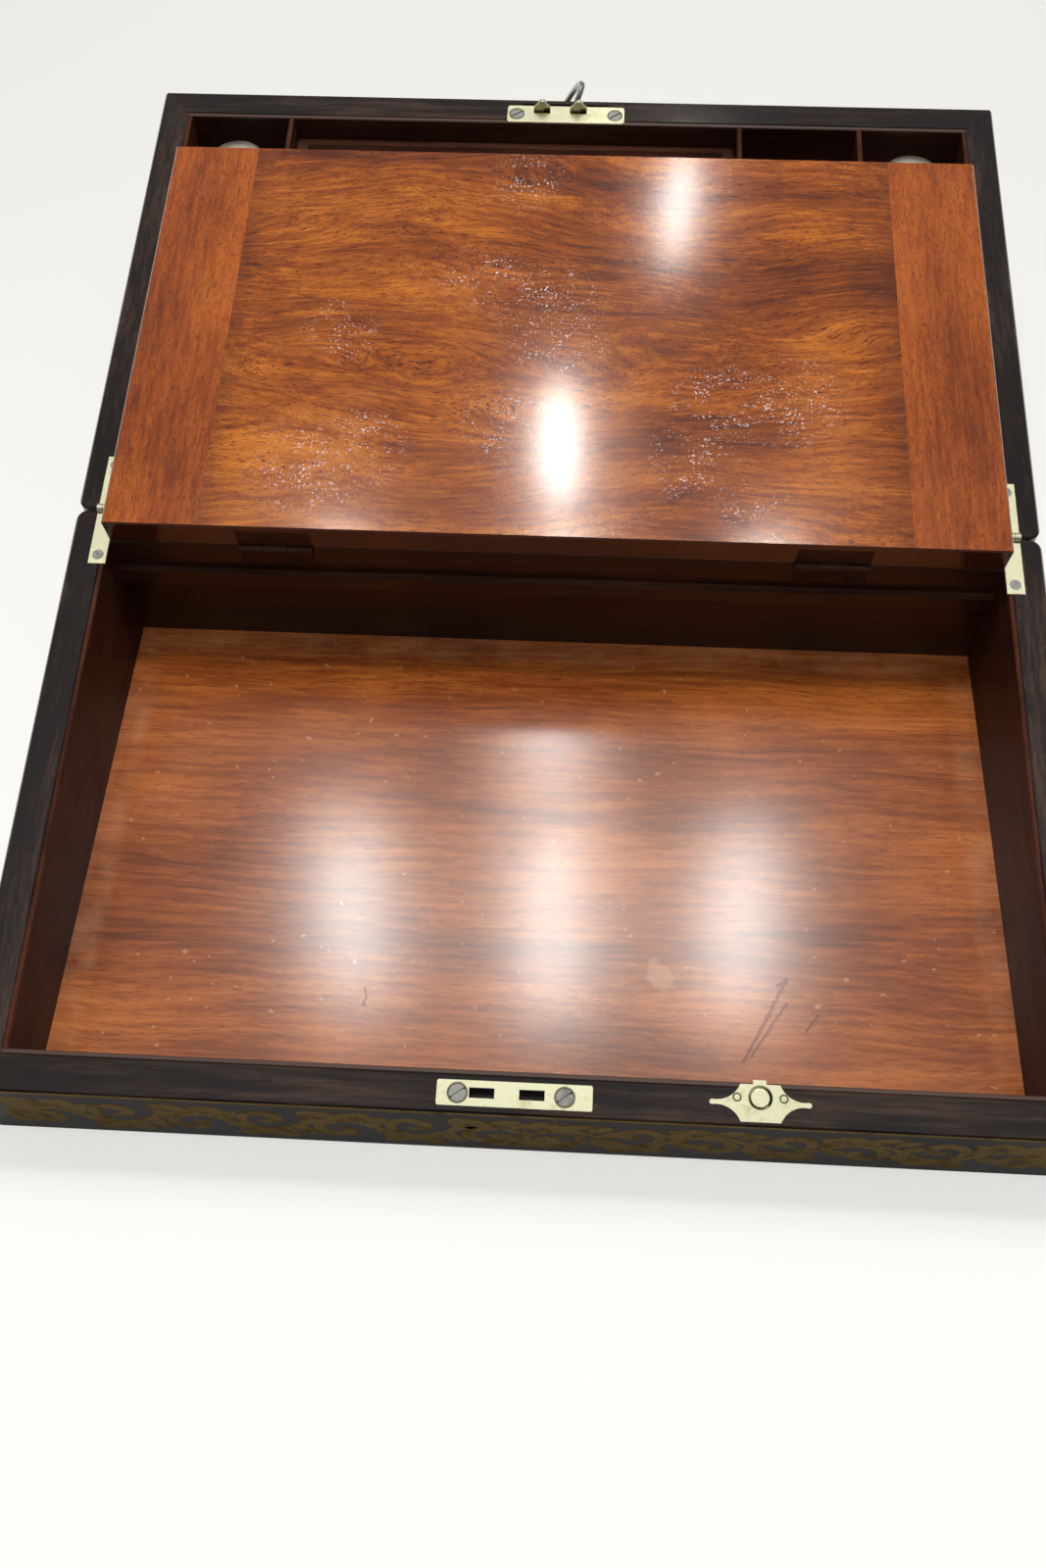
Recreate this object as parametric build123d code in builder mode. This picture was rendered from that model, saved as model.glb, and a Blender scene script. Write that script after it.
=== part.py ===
from build123d import *
import os
from math import cos, radians, sin, tan

os.makedirs("parts", exist_ok=True)

# Overall sizes of the closed box, in millimetres
box_length = 420.0
box_depth = 254.0
hinge_height = 76.0
slope_angle = 6.5

# Case joinery
wall_thickness = 14.0
lining_thickness = 2.0
base_board_thickness = 9.0
lid_board_thickness = 10.5
board_margin = 7.0
corner_radius = 1.5
hinge_corner_radius = 5.0
hinge_gap = 0.2
rim_gap = 0.2
lining_drop = 0.5
rim_arris = 0.8
rim_inner_arris = 0.4
lining_arris = 0.4

# Hinges of the box
hinge_width = 7.6
hinge_leaf_length = 28.0
hinge_leaf_thickness = 1.5
hinge_barrel_radius = 2.2
hinge_pin_radius = 0.9
knuckle_gap = 0.2
hinge_screw_inset = 4.5
hinge_slot_width = 0.6
hinge_slot_depth = 0.5

# Writing flaps
flap_side_gap = 1.1
flap_hinge_gap = 0.4
flap_thickness = 14.0
flap_recess = 2.0
flap_front_gap = 2.0
flap_border = 14.0
leather_thickness = 1.0
cleat_width = 41.0
tongue_length = 8.0
tongue_thickness = 4.0
flap_arris = 0.6
bearer_width = 3.2
bearer_height = 8.0
seat_gap = 0.3

# Butts of the near flap
butt_x = 120.0
butt_length = 32.0
butt_barrel_radius = 1.6
butt_pin_radius = 0.7
butt_leaf_thickness = 1.2
butt_leaf_height = 11.0
butt_knuckle_gap = 0.3
pivot_from_lining = 1.35
pivot_depth = 0.8
flap_edge_from_pivot = 0.75

# Compartments at the far side
partition_thickness = 3.5
tray_row_depth = 48.0
divider_thickness = 2.4
ink_well_width = 49.8
small_compartment_width = 57.2
deck_height = 42.0
deck_thickness = 4.0

# Pen tray
tray_height = 18.0
tray_lift = 27.2
tray_gap = 0.4
tray_bearer_width = 6.0
scoop_width = 38.0
scoop_depth = 12.0
tray_end = 6.0
tray_arris = 0.6

# Inkwells
bottle_width = 44.0
bottle_height = 41.2
bottle_shift = 1.0
bottle_corner = 5.0
bottle_shoulder = 3.0
bottle_cavity_radius = 16.0
bottle_floor = 4.0
neck_radius = 10.8
neck_bore_radius = 8.4
neck_height = 3.0
cap_radius = 13.0
collar_height = 3.7
thread_radius = 11.4
thread_height = 4.0
cap_skirt_height = 4.5
cap_height = 8.1
thread_clearance = 0.08

# Box lock
lock_x = -4.0
lock_plate_length = 59.0
lock_plate_width = 11.3
lock_plate_thickness = 1.5
lock_plate_inset = 4.5
lock_case_length = 44.0
lock_case_depth = 26.0
lock_case_width = 7.4
lock_case_wall = 1.2
lock_screw_inset = 4.7
stud_inset = 7.5
stud_center_x = -6.8
stud_pitch = 18.4
stud_width = 8.0
stud_neck_width = 4.8
stud_height = 5.8
stud_top_half = 2.0
stud_thickness = 1.8
hook_clearance = 0.3
bolt_travel = 3.0
bolt_bar_length = 29.0
bolt_bar_height = 8.0
bolt_bar_thickness = 2.0
talon_width = 10.0
stump_radius = 1.5
stump_pitch = 18.5
slide_clearance = 0.1
strike_plate_length = 57.2
strike_plate_width = 9.4
strike_plate_thickness = 1.5
strike_slot_length = 9.3
strike_slot_width = 3.8
screw_head_radius = 3.2
screw_shank_radius = 1.6
screw_length = 10.0
screw_slot_width = 0.7
screw_slot_depth = 0.6

# Key
key_drop = 18.0
key_shank_radius = 2.0
key_bit_reach = 6.0
key_bit_width = 3.8
key_bit_thickness = 1.8
key_bore_radius = 1.2
drill_pin_radius = 1.0
key_bow_length = 34.0
key_bow_height = 20.0
key_bow_bar = 3.2
key_bow_thickness = 2.6
key_shank_length = 18.0
key_bow_lean = 28.0
key_bit_lean = 47.0
keyhole_clearance = 0.4
escutcheon_thickness = 1.0
escutcheon_half_width = 5.0
escutcheon_half_height = 9.0

# Push-button catch of the near flap
catch_x = 85.6
catch_plate_inset = 8.55
catch_plate_half_height = 6.85
catch_plate_half_flat = 7.3
catch_plate_half_length = 18.6
catch_plate_thickness = 1.2
catch_hole_radius = 4.3
button_inset = 10.5
button_radius = 3.6
button_travel = 2.5
button_stem_radius = 1.2
nose_width = 4.8
nose_reach = 1.2
nose_thickness = 1.6
latch_thickness = 1.3
latch_body_width = 7.0
latch_body_length = 8.0
spring_thickness = 0.5
catch_pin_pitch = 17.0
catch_pin_radius = 1.4
catch_pin_length = 6.0

# Inlaid edging of the lid's near face
edging_height = 2.0
edging_depth = 1.0
edging_drop = 0.9

# Planes and places that follow from the sizes
a = radians(slope_angle)
half_length = box_length / 2
hinge_y = -box_depth / 2
base_far = box_depth / 2
base_near = hinge_y + hinge_gap
lid_far = hinge_y - hinge_gap
lid_near = hinge_y - box_depth
case_top = hinge_height + box_depth * tan(a)
inner_half = half_length - wall_thickness - lining_thickness
flap_half = inner_half - flap_side_gap
slope = Plane(origin=(0, hinge_y, hinge_height), x_dir=(1, 0, 0), z_dir=(0, -sin(a), cos(a)))
rim_plane = slope.offset(-rim_gap)
lining_plane = slope.offset(-lining_drop)


def slope_u(y, h=0.0):
    """Distance up the slope from the hinge line, at row y and height h over the slope."""
    return (y - hinge_y + h * sin(a)) / cos(a)


def side_plane(x):
    """A plane across the box at x, with the slope's own directions."""
    return Plane(origin=(x, hinge_y, hinge_height), x_dir=(0, cos(a), sin(a)), z_dir=(1, 0, 0))


def upright(y):
    """A standing plane at row y that faces the viewer."""
    return Plane(origin=(0, y, 0), x_dir=(1, 0, 0), z_dir=(0, -1, 0))


def block(x0, x1, y0, y1, z0, z1):
    """A plain block between six faces."""
    with BuildPart() as solid:
        with BuildSketch(Plane.XY.offset(z0)):
            with Locations(((x0 + x1) / 2, (y0 + y1) / 2)):
                Rectangle(x1 - x0, y1 - y0)
        extrude(amount=z1 - z0)
    return solid.part


def slope_block(x0, x1, u0, u1, h0, h1):
    """A block that lies along the slope."""
    with BuildPart() as solid:
        with BuildSketch(slope.offset(h0)):
            with Locations(((x0 + x1) / 2, (u0 + u1) / 2)):
                Rectangle(x1 - x0, u1 - u0)
        extrude(amount=h1 - h0)
    return solid.part


def screws(places, clearance=0.0, slotted=True):
    """Countersunk screws standing in the rim at the given places."""
    head = screw_head_radius + clearance
    shank = screw_shank_radius + clearance
    with BuildPart() as group:
        with BuildSketch(rim_plane):
            with Locations(*places):
                Circle(head)
        extrude(amount=-(screw_head_radius - screw_shank_radius), taper=45)
        with BuildSketch(rim_plane):
            with Locations(*places):
                Circle(shank)
        extrude(amount=-(screw_length + clearance))
        if slotted:
            with BuildSketch(rim_plane):
                with Locations(*places):
                    Rectangle(3 * head, screw_slot_width, rotation=35)
            extrude(amount=-screw_slot_depth, mode=Mode.SUBTRACT)
    return group.part


def finish(part, label):
    """Label a piece and write it out."""
    part.label = label
    export_step(part, f"parts/{label}.step")


# Box hinges: a leaf let into each rim beside the lining, with three knuckles
hinge_inner = flap_half + flap_hinge_gap
hinge_outer = hinge_inner + hinge_width
hinge_middle = (hinge_inner + hinge_outer) / 2
knuckle_width = (hinge_width - 2 * knuckle_gap) / 3
leaf_bottom = -rim_gap - hinge_leaf_thickness
hinge_screw_radius = hinge_width / 2 - 1.3
hinge_screw_length = 9.0
leaf_clearance = 0.05
barrel_clearance = 0.3

with BuildPart() as hinge_pockets:
    with BuildSketch(slope.offset(leaf_bottom)):
        with Locations((hinge_middle, 0)):
            Rectangle(hinge_width + 2 * leaf_clearance, 2 * (hinge_leaf_length + leaf_clearance))
    extrude(amount=hinge_leaf_thickness + rim_gap)
    with BuildSketch(side_plane(hinge_inner - barrel_clearance)):
        Circle(hinge_barrel_radius + barrel_clearance)
    extrude(amount=hinge_width + 2 * barrel_clearance)
    mirror(about=Plane.YZ)


def hinge_leaves(direction, knuckle_starts):
    """Both leaves of one half; direction is 1 for the base and -1 for the lid."""
    with BuildPart() as leaves:
        with BuildSketch(slope.offset(leaf_bottom)):
            with Locations((hinge_middle, direction * hinge_leaf_length / 2)):
                Rectangle(hinge_width, hinge_leaf_length)
        extrude(amount=hinge_leaf_thickness)
        with BuildSketch(side_plane(hinge_inner)):
            Circle(hinge_barrel_radius + barrel_clearance)
        extrude(amount=hinge_width, mode=Mode.SUBTRACT)
        for start in knuckle_starts:
            with BuildSketch(side_plane(start)):
                Circle(hinge_barrel_radius)
                with Locations((direction * hinge_barrel_radius, (leaf_bottom - rim_gap) / 2)):
                    Rectangle(2 * hinge_barrel_radius, hinge_leaf_thickness)
            extrude(amount=knuckle_width)
        with BuildSketch(side_plane(hinge_inner)):
            Circle(hinge_pin_radius + (0 if direction > 0 else 0.05))
        extrude(amount=hinge_width, mode=Mode.SUBTRACT)
        with BuildSketch(rim_plane):
            with Locations((hinge_middle, direction * (hinge_leaf_length - hinge_screw_inset))):
                Circle(hinge_screw_radius)
        extrude(amount=-hinge_leaf_thickness, taper=30, mode=Mode.SUBTRACT)
        mirror(about=Plane.YZ)
    return leaves.part


def hinge_screws(direction, clearance=0.0):
    """The screws that hold the leaves of one half."""
    place = (hinge_middle, direction * (hinge_leaf_length - hinge_screw_inset))
    tip_radius = hinge_screw_radius - hinge_leaf_thickness * tan(radians(30))
    with BuildPart() as group:
        with BuildSketch(rim_plane):
            with Locations(place):
                Circle(hinge_screw_radius)
        extrude(amount=-hinge_leaf_thickness, taper=30)
        with BuildSketch(rim_plane):
            with Locations(place):
                Circle(tip_radius + clearance)
        extrude(amount=-(hinge_screw_length + clearance))
        if not clearance:
            with BuildSketch(rim_plane):
                with Locations(place):
                    Rectangle(3 * hinge_screw_radius, hinge_slot_width, rotation=50)
            extrude(amount=-hinge_slot_depth, mode=Mode.SUBTRACT)
        mirror(about=Plane.YZ)
    return group.part


outer_knuckles = (hinge_inner, hinge_outer - knuckle_width)
middle_knuckle = (hinge_middle - knuckle_width / 2,)
base_hinge_leaves = hinge_leaves(1, outer_knuckles)
lid_hinge_leaves = hinge_leaves(-1, middle_knuckle)
base_hinge_screws = hinge_screws(1)
lid_hinge_screws = hinge_screws(-1)
finish(base_hinge_leaves, "base_hinge_leaves")
finish(lid_hinge_leaves, "lid_hinge_leaves")
finish(base_hinge_screws, "base_hinge_screws")
finish(lid_hinge_screws, "lid_hinge_screws")

with BuildPart() as box_hinge_pins:
    with BuildSketch(side_plane(hinge_inner)):
        Circle(hinge_pin_radius)
    extrude(amount=hinge_width)
    mirror(about=Plane.YZ)
finish(box_hinge_pins.part, "box_hinge_pins")

# Lock: places in the far wall of the base
stud_y = base_far - stud_inset
stud_u = slope_u(stud_y)
stud_places = (stud_center_x - stud_pitch / 2, stud_center_x + stud_pitch / 2)
plate_bottom = -rim_gap - lock_plate_thickness
plate_u = slope_u(base_far - lock_plate_inset - lock_plate_width / 2)
lock_y = stud_y + lock_case_depth / 4 * sin(a)
key_z = case_top - key_drop
case_bottom = case_top - lock_case_depth - lock_plate_thickness
case_half = lock_case_length / 2
lock_screw_places = [
    (lock_x + side * (lock_plate_length / 2 - lock_screw_inset), plate_u) for side in (-1, 1)
]
bar_bottom = key_z + key_bit_reach - 2.6
bar_top = bar_bottom + bolt_bar_height
bar_start = stud_center_x - bolt_bar_length / 2
stump_z = bar_top - stump_radius - 1.0
stump_places = [(lock_x - 10 + step * stump_pitch, stump_z) for step in (0, 1)]
inner_width = lock_case_width - 2 * lock_case_wall


def keyhole(clearance, y0, y1):
    """A keyhole through the far wall, between rows y0 and y1."""
    with BuildPart() as hole:
        with BuildSketch(upright(y0)):
            with Locations((lock_x, key_z)):
                Circle(key_shank_radius + clearance)
                Rectangle(
                    key_bit_thickness + 2 * clearance,
                    key_bit_reach + clearance,
                    align=(Align.CENTER, Align.MAX),
                )
        extrude(amount=-(y1 - y0))
    return hole.part


with BuildPart() as lock_recess:
    with BuildSketch(slope.offset(plate_bottom)):
        with Locations((lock_x, plate_u)):
            Rectangle(lock_plate_length + 0.1, lock_plate_width + 0.1)
    extrude(amount=lock_plate_thickness + 1)
    add(
        block(
            lock_x - case_half - 0.1,
            lock_x + case_half + 0.1,
            lock_y - lock_case_width / 2 - 0.1,
            lock_y + lock_case_width / 2 + 0.1,
            case_bottom - 0.1,
            case_top,
        )
    )
    add(screws(lock_screw_places, 0.1, slotted=False))
    add(keyhole(keyhole_clearance, lock_y, base_far + 1))
    with BuildSketch(upright(base_far - escutcheon_thickness)):
        with Locations((lock_x, key_z - 1.5)):
            Ellipse(escutcheon_half_width, escutcheon_half_height)
    extrude(amount=-2 * escutcheon_thickness)

with BuildPart() as lock_plate:
    with BuildSketch(slope.offset(plate_bottom)):
        with Locations((lock_x, plate_u)):
            RectangleRounded(lock_plate_length, lock_plate_width, 1.5)
        with Locations(*[(x + (bolt_travel - stud_width + stud_neck_width) / 2, stud_u) for x in stud_places]):
            Rectangle(
                stud_neck_width + bolt_travel + 2 * hook_clearance,
                stud_thickness + 2.2,
                mode=Mode.SUBTRACT,
            )
    extrude(amount=lock_plate_thickness)
    add(screws(lock_screw_places, 0.05, slotted=False), mode=Mode.SUBTRACT)
finish(lock_plate.part, "lock_plate")
lock_screws = screws(lock_screw_places)
finish(lock_screws, "lock_screws")

with BuildPart() as lock_case:
    with BuildSketch(Plane.XY.offset(case_bottom)):
        with Locations((lock_x, lock_y)):
            Rectangle(lock_case_length, lock_case_width)
    extrude(amount=case_top - case_bottom)
    with BuildSketch(Plane.XY.offset(case_bottom + lock_case_wall)):
        with Locations((lock_x, lock_y)):
            Rectangle(lock_case_length - 2 * lock_case_wall, inner_width)
    extrude(amount=case_top - case_bottom, mode=Mode.SUBTRACT)
    split(bisect_by=slope.offset(plate_bottom), keep=Keep.BOTTOM)
    with BuildSketch(upright(lock_y - inner_width / 2)):
        with Locations(*stump_places):
            Circle(stump_radius)
    extrude(amount=-inner_width)
    with BuildSketch(upright(lock_y - inner_width / 2)):
        with Locations((lock_x, key_z)):
            Circle(drill_pin_radius)
    extrude(amount=-inner_width)
    add(keyhole(keyhole_clearance, lock_y + inner_width / 2, base_far), mode=Mode.SUBTRACT)
finish(lock_case.part, "lock_case")


def stud_plane(x):
    """A plane through a stud, square to the slope and facing the viewer."""
    return Plane(
        origin=slope.from_local_coords((x, stud_u, 0)), x_dir=(1, 0, 0), z_dir=(0, -cos(a), -sin(a))
    )


# Bolt bar with its talon, two guide slots and two hooked studs
with BuildPart() as lock_bolts:
    with BuildSketch(upright(lock_y)):
        with Locations((stud_center_x, (bar_bottom + bar_top) / 2)):
            Rectangle(bolt_bar_length, bolt_bar_height)
        with Locations((lock_x - 7.4 + talon_width / 2, bar_bottom)):
            Rectangle(talon_width, 2 * 3.0, mode=Mode.SUBTRACT)
        with Locations(*[(x - bolt_travel / 2, z) for x, z in stump_places]):
            SlotCenterToCenter(bolt_travel, 2 * (stump_radius + slide_clearance), mode=Mode.SUBTRACT)
    extrude(amount=bolt_bar_thickness / 2, both=True)
    stud_foot = (bar_top - hinge_height) / cos(a) - stud_u * tan(a) - 0.7
    hook_level = rim_gap + strike_plate_thickness + hook_clearance
    for x in stud_places:
        with BuildSketch(stud_plane(x)):
            with BuildLine():
                Polyline(
                    (-stud_top_half, stud_height - stud_top_half),
                    (-stud_width / 2, hook_level),
                    (-stud_width / 2, stud_foot),
                    (-stud_width / 2 + stud_neck_width, stud_foot),
                    (-stud_width / 2 + stud_neck_width, hook_level),
                    (stud_width / 2, hook_level),
                    (stud_top_half, stud_height - stud_top_half),
                )
                ThreePointArc(
                    (stud_top_half, stud_height - stud_top_half),
                    (0, stud_height),
                    (-stud_top_half, stud_height - stud_top_half),
                )
            make_face()
        extrude(amount=stud_thickness / 2, both=True)
finish(lock_bolts.part, "lock_bolts")

# Key: piped shank, bit and oval bow, leaning to the right
key_tip = lock_y - inner_width / 2 + 0.3
bow_y = base_far + 8.0 + key_bow_height / 2
bow_lean = radians(key_bow_lean)
bit_lean = radians(key_bit_lean)
bow_plane = Plane(origin=(lock_x, bow_y, key_z), x_dir=(0, 1, 0), z_dir=(cos(bow_lean), 0, -sin(bow_lean)))
with BuildPart() as key:
    with BuildSketch(bow_plane):
        Ellipse(key_bow_height / 2, key_bow_length / 2)
        Ellipse(key_bow_height / 2 - key_bow_bar, key_bow_length / 2 - key_bow_bar, mode=Mode.SUBTRACT)
    extrude(amount=key_bow_thickness / 2, both=True)
    fillet(key.edges().filter_by(GeomType.ELLIPSE), 0.8)
    with BuildSketch(upright(key_tip)):
        with Locations((lock_x, key_z)):
            Circle(key_shank_radius)
    extrude(amount=-(bow_y - key_bow_height / 2 + key_bow_bar / 2 - key_tip))
    with BuildSketch(upright(base_far + 6.0)):
        with Locations((lock_x, key_z)):
            Circle(key_shank_radius + 0.9)
    extrude(amount=-1.8)
    bit_center = Plane(
        origin=(lock_x, lock_y - inner_width / 2 + 0.5, key_z),
        x_dir=(-cos(bit_lean), 0, sin(bit_lean)),
        z_dir=(0, 1, 0),
    )
    with BuildSketch(bit_center):
        Rectangle(key_bit_thickness, key_bit_reach, align=(Align.CENTER, Align.MAX))
    extrude(amount=key_bit_width)
    with BuildSketch(upright(key_tip)):
        with Locations((lock_x, key_z)):
            Circle(key_bore_radius)
    extrude(amount=-(inner_width + 0.5), mode=Mode.SUBTRACT)
finish(key.part, "key")

with BuildPart() as escutcheon:
    with BuildSketch(upright(base_far - escutcheon_thickness)):
        with Locations((lock_x, key_z - 1.5)):
            Ellipse(escutcheon_half_width, escutcheon_half_height)
    extrude(amount=-escutcheon_thickness)
    add(keyhole(keyhole_clearance, lock_y, base_far + 1), mode=Mode.SUBTRACT)
finish(escutcheon.part, "escutcheon")

# Strike plate in the near rim of the lid, with a pocket behind each slot
strike_u = -slope_u(base_far - stud_inset + 0.2)
strike_screw_places = [(-24.9, strike_u), (14.4, strike_u)]
strike_bottom = -rim_gap - strike_plate_thickness

with BuildPart() as strike_recess:
    with BuildSketch(slope.offset(strike_bottom)):
        with Locations((lock_x, strike_u)):
            Rectangle(strike_plate_length + 0.1, strike_plate_width + 0.1)
    extrude(amount=strike_plate_thickness + 1)
    with BuildSketch(rim_plane):
        with Locations(*[(x + bolt_travel / 2, -stud_u) for x in stud_places]):
            Rectangle(stud_width + bolt_travel + 2, stud_thickness + 2.1)
    extrude(amount=-(stud_height + 1.5))
    add(screws(strike_screw_places, 0.1, slotted=False))

with BuildPart() as strike_plate:
    with BuildSketch(slope.offset(strike_bottom)):
        with Locations((lock_x, strike_u)):
            RectangleRounded(strike_plate_length, strike_plate_width, 0.8)
        with Locations(*[(x, -stud_u) for x in stud_places]):
            Rectangle(strike_slot_length, strike_slot_width, mode=Mode.SUBTRACT)
    extrude(amount=strike_plate_thickness)
    add(screws(strike_screw_places, 0.05, slotted=False), mode=Mode.SUBTRACT)
finish(strike_plate.part, "strike_plate")
finish(screws(strike_screw_places), "strike_screws")

# Catch of the near flap: plate, button, sliding latch, leaf spring and two pins
near_u = slope_u(lid_near)
near_lining_u = slope_u(lid_near + wall_thickness + lining_thickness)
catch_u = near_u + catch_plate_inset
button_u = near_u + button_inset
catch_bottom = -rim_gap - 0.1 - catch_plate_thickness
nose_tip = near_lining_u + nose_reach
latch_top = -rim_gap - 0.2 - 1.2 - button_travel - seat_gap
latch_bottom = latch_top - latch_thickness
latch_back = button_u - latch_body_length / 2
spring_back = latch_back - nose_reach - seat_gap - 0.6
catch_pins_at = [(catch_x + side * catch_pin_pitch / 2, button_u) for side in (-1, 1)]

catch_reach = catch_plate_half_length - 1.0
catch_waist = catch_plate_half_flat + 3.2
with BuildSketch() as catch_outline:
    with BuildLine() as catch_line:
        Line((0, catch_plate_half_height), (catch_plate_half_flat, catch_plate_half_height))
        ThreePointArc((catch_plate_half_flat, catch_plate_half_height), (catch_waist, 2.7), (catch_reach, 1))
        ThreePointArc((catch_reach, 1), (catch_plate_half_length, 0), (catch_reach, -1))
        ThreePointArc((catch_reach, -1), (catch_waist, -2.7), (catch_plate_half_flat, -catch_plate_half_height))
        Line((catch_plate_half_flat, -catch_plate_half_height), (0, -catch_plate_half_height))
        mirror(about=Plane.YZ)
    make_face()


def catch_plane(h):
    """The slope's plane at height h, with its origin at the middle of the catch plate."""
    return Plane(origin=slope.from_local_coords((catch_x, catch_u, h)), x_dir=(1, 0, 0), z_dir=slope.z_dir)


def catch_pin_set(clearance=0.0):
    """Two headed pins through the catch plate."""
    with BuildPart() as group:
        with BuildSketch(slope.offset(-rim_gap - 0.1)):
            with Locations(*catch_pins_at):
                Circle(catch_pin_radius)
        extrude(amount=-(catch_pin_radius - 0.7), taper=45)
        with BuildSketch(slope.offset(-rim_gap - 0.1)):
            with Locations(*catch_pins_at):
                Circle(0.7 + clearance)
        extrude(amount=-(catch_pin_length + clearance))
    return group.part


catch_mortise_floor = latch_bottom - seat_gap
stem_foot = latch_bottom - 3.0
with BuildPart() as catch_recess:
    with BuildSketch(catch_plane(catch_bottom)):
        add(catch_outline.sketch)
    extrude(amount=catch_plate_thickness + 1)
    add(
        slope_block(
            catch_x - latch_body_width / 2 - 0.5,
            catch_x + latch_body_width / 2 + 0.5,
            spring_back - 0.1,
            near_lining_u - 1,
            catch_mortise_floor,
            catch_bottom + 0.1,
        )
    )
    with BuildSketch(slope.offset(catch_bottom)):
        with Locations((catch_x, button_u)):
            Circle(catch_hole_radius)
    extrude(amount=-(button_travel + 0.4))
    with BuildSketch(slope.offset(catch_bottom)):
        with Locations((catch_x, button_u)):
            Circle(button_stem_radius + seat_gap)
    extrude(amount=stem_foot - button_travel - 0.5 - catch_bottom)
    add(
        slope_block(
            catch_x - nose_width / 2 - seat_gap,
            catch_x + nose_width / 2 + seat_gap,
            near_lining_u - 3,
            near_lining_u + 3,
            catch_mortise_floor,
            1,
        )
    )
    add(catch_pin_set(0.05))

with BuildPart() as catch_plate:
    with BuildSketch(catch_plane(catch_bottom)):
        add(catch_outline.sketch)
        with Locations((0, button_u - catch_u)):
            Circle(catch_hole_radius, mode=Mode.SUBTRACT)
    extrude(amount=catch_plate_thickness)
    add(catch_pin_set(), mode=Mode.SUBTRACT)
finish(catch_plate.part, "catch_plate")
finish(catch_pin_set(), "catch_pins")

button_top = -rim_gap - 0.2
with BuildPart() as catch_button:
    with BuildSketch(slope.offset(button_top)):
        with Locations((catch_x, button_u)):
            Circle(button_radius)
    extrude(amount=-1.2)
    fillet(catch_button.edges().group_by(Axis.Z)[-1], 0.4)
    with BuildSketch(slope.offset(button_top - 1.2)):
        with Locations((catch_x, button_u)):
            Circle(button_stem_radius)
    extrude(amount=stem_foot - (button_top - 1.2))
finish(catch_button.part, "catch_button")

with BuildPart() as catch_latch:
    with BuildSketch(slope.offset(latch_bottom)):
        with Locations((catch_x, button_u)):
            Rectangle(latch_body_width, latch_body_length)
        with Locations((catch_x, (button_u + nose_tip) / 2)):
            Rectangle(nose_width, nose_tip - button_u)
        with Locations((catch_x, button_u + nose_reach / 2)):
            SlotOverall(
                2 * (button_stem_radius + seat_gap) + nose_reach,
                2 * (button_stem_radius + seat_gap),
                rotation=90,
                mode=Mode.SUBTRACT,
            )
    extrude(amount=latch_thickness)
    with BuildSketch(slope.offset(latch_bottom)):
        with Locations((catch_x, nose_tip - nose_thickness / 2)):
            Rectangle(nose_width, nose_thickness)
    extrude(amount=-1.9 - latch_bottom)
finish(catch_latch.part, "catch_latch")

# Leaf spring behind the latch, bowed towards it
spring_foot = catch_mortise_floor + 0.1
spring_height = catch_bottom - 0.2 - spring_foot
with BuildPart() as catch_spring:
    with BuildSketch(side_plane(catch_x - 2.5)):
        with BuildLine():
            ThreePointArc(
                (spring_back, spring_foot),
                (spring_back + 0.6, spring_foot + spring_height / 2),
                (spring_back, spring_foot + spring_height),
            )
            Line((spring_back, spring_foot + spring_height), (spring_back + spring_thickness, spring_foot + spring_height))
            ThreePointArc(
                (spring_back + spring_thickness, spring_foot + spring_height),
                (spring_back + spring_thickness + 0.4, spring_foot + spring_height / 2),
                (spring_back + spring_thickness, spring_foot),
            )
            Line((spring_back + spring_thickness, spring_foot), (spring_back, spring_foot))
        make_face()
    extrude(amount=5)
finish(catch_spring.part, "catch_spring")

# Inlaid brass edging below the rim of the lid's near face
edging_top = hinge_height - box_depth * tan(a) - edging_drop
edging = block(
    -half_length + corner_radius,
    half_length - corner_radius,
    lid_near,
    lid_near + edging_depth,
    edging_top - edging_height,
    edging_top,
)
finish(edging, "lid_edging")

# Butts of the near flap: pivot beside the lid's hinge lining
lid_hinge_lining_y = lid_far - wall_thickness - lining_thickness
base_hinge_lining_y = base_near + wall_thickness + lining_thickness
pivot_u = slope_u(lid_hinge_lining_y) - pivot_from_lining
pivot = Vector(0, hinge_y, hinge_height) + slope.y_dir * pivot_u - slope.z_dir * pivot_depth
butt_knuckle = (butt_length - 2 * butt_knuckle_gap) / 3
butt_clearance = 0.3


def butt_plane(x, upright_leaf):
    """A plane across a butt at x, through its pivot, level or along the slope."""
    if upright_leaf:
        return Plane(origin=(x, pivot.Y, pivot.Z), x_dir=(0, 1, 0), z_dir=(1, 0, 0))
    return Plane(origin=(x, pivot.Y, pivot.Z), x_dir=slope.y_dir, z_dir=(1, 0, 0))


leaf_face = lid_hinge_lining_y - pivot.Y
lid_leaf_pocket = block(
    butt_x - butt_length / 2 - 0.1,
    butt_x + butt_length / 2 + 0.1,
    lid_hinge_lining_y - 1,
    lid_hinge_lining_y + butt_leaf_thickness,
    pivot.Z - butt_leaf_height,
    pivot.Z + 10,
)
with BuildPart() as lid_butt_pockets:
    add(lid_leaf_pocket)
    with BuildSketch(butt_plane(butt_x - butt_length / 2 - butt_clearance, True)):
        Circle(butt_barrel_radius + butt_clearance)
    extrude(amount=butt_length + 2 * butt_clearance)
    mirror(about=Plane.YZ)

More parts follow.
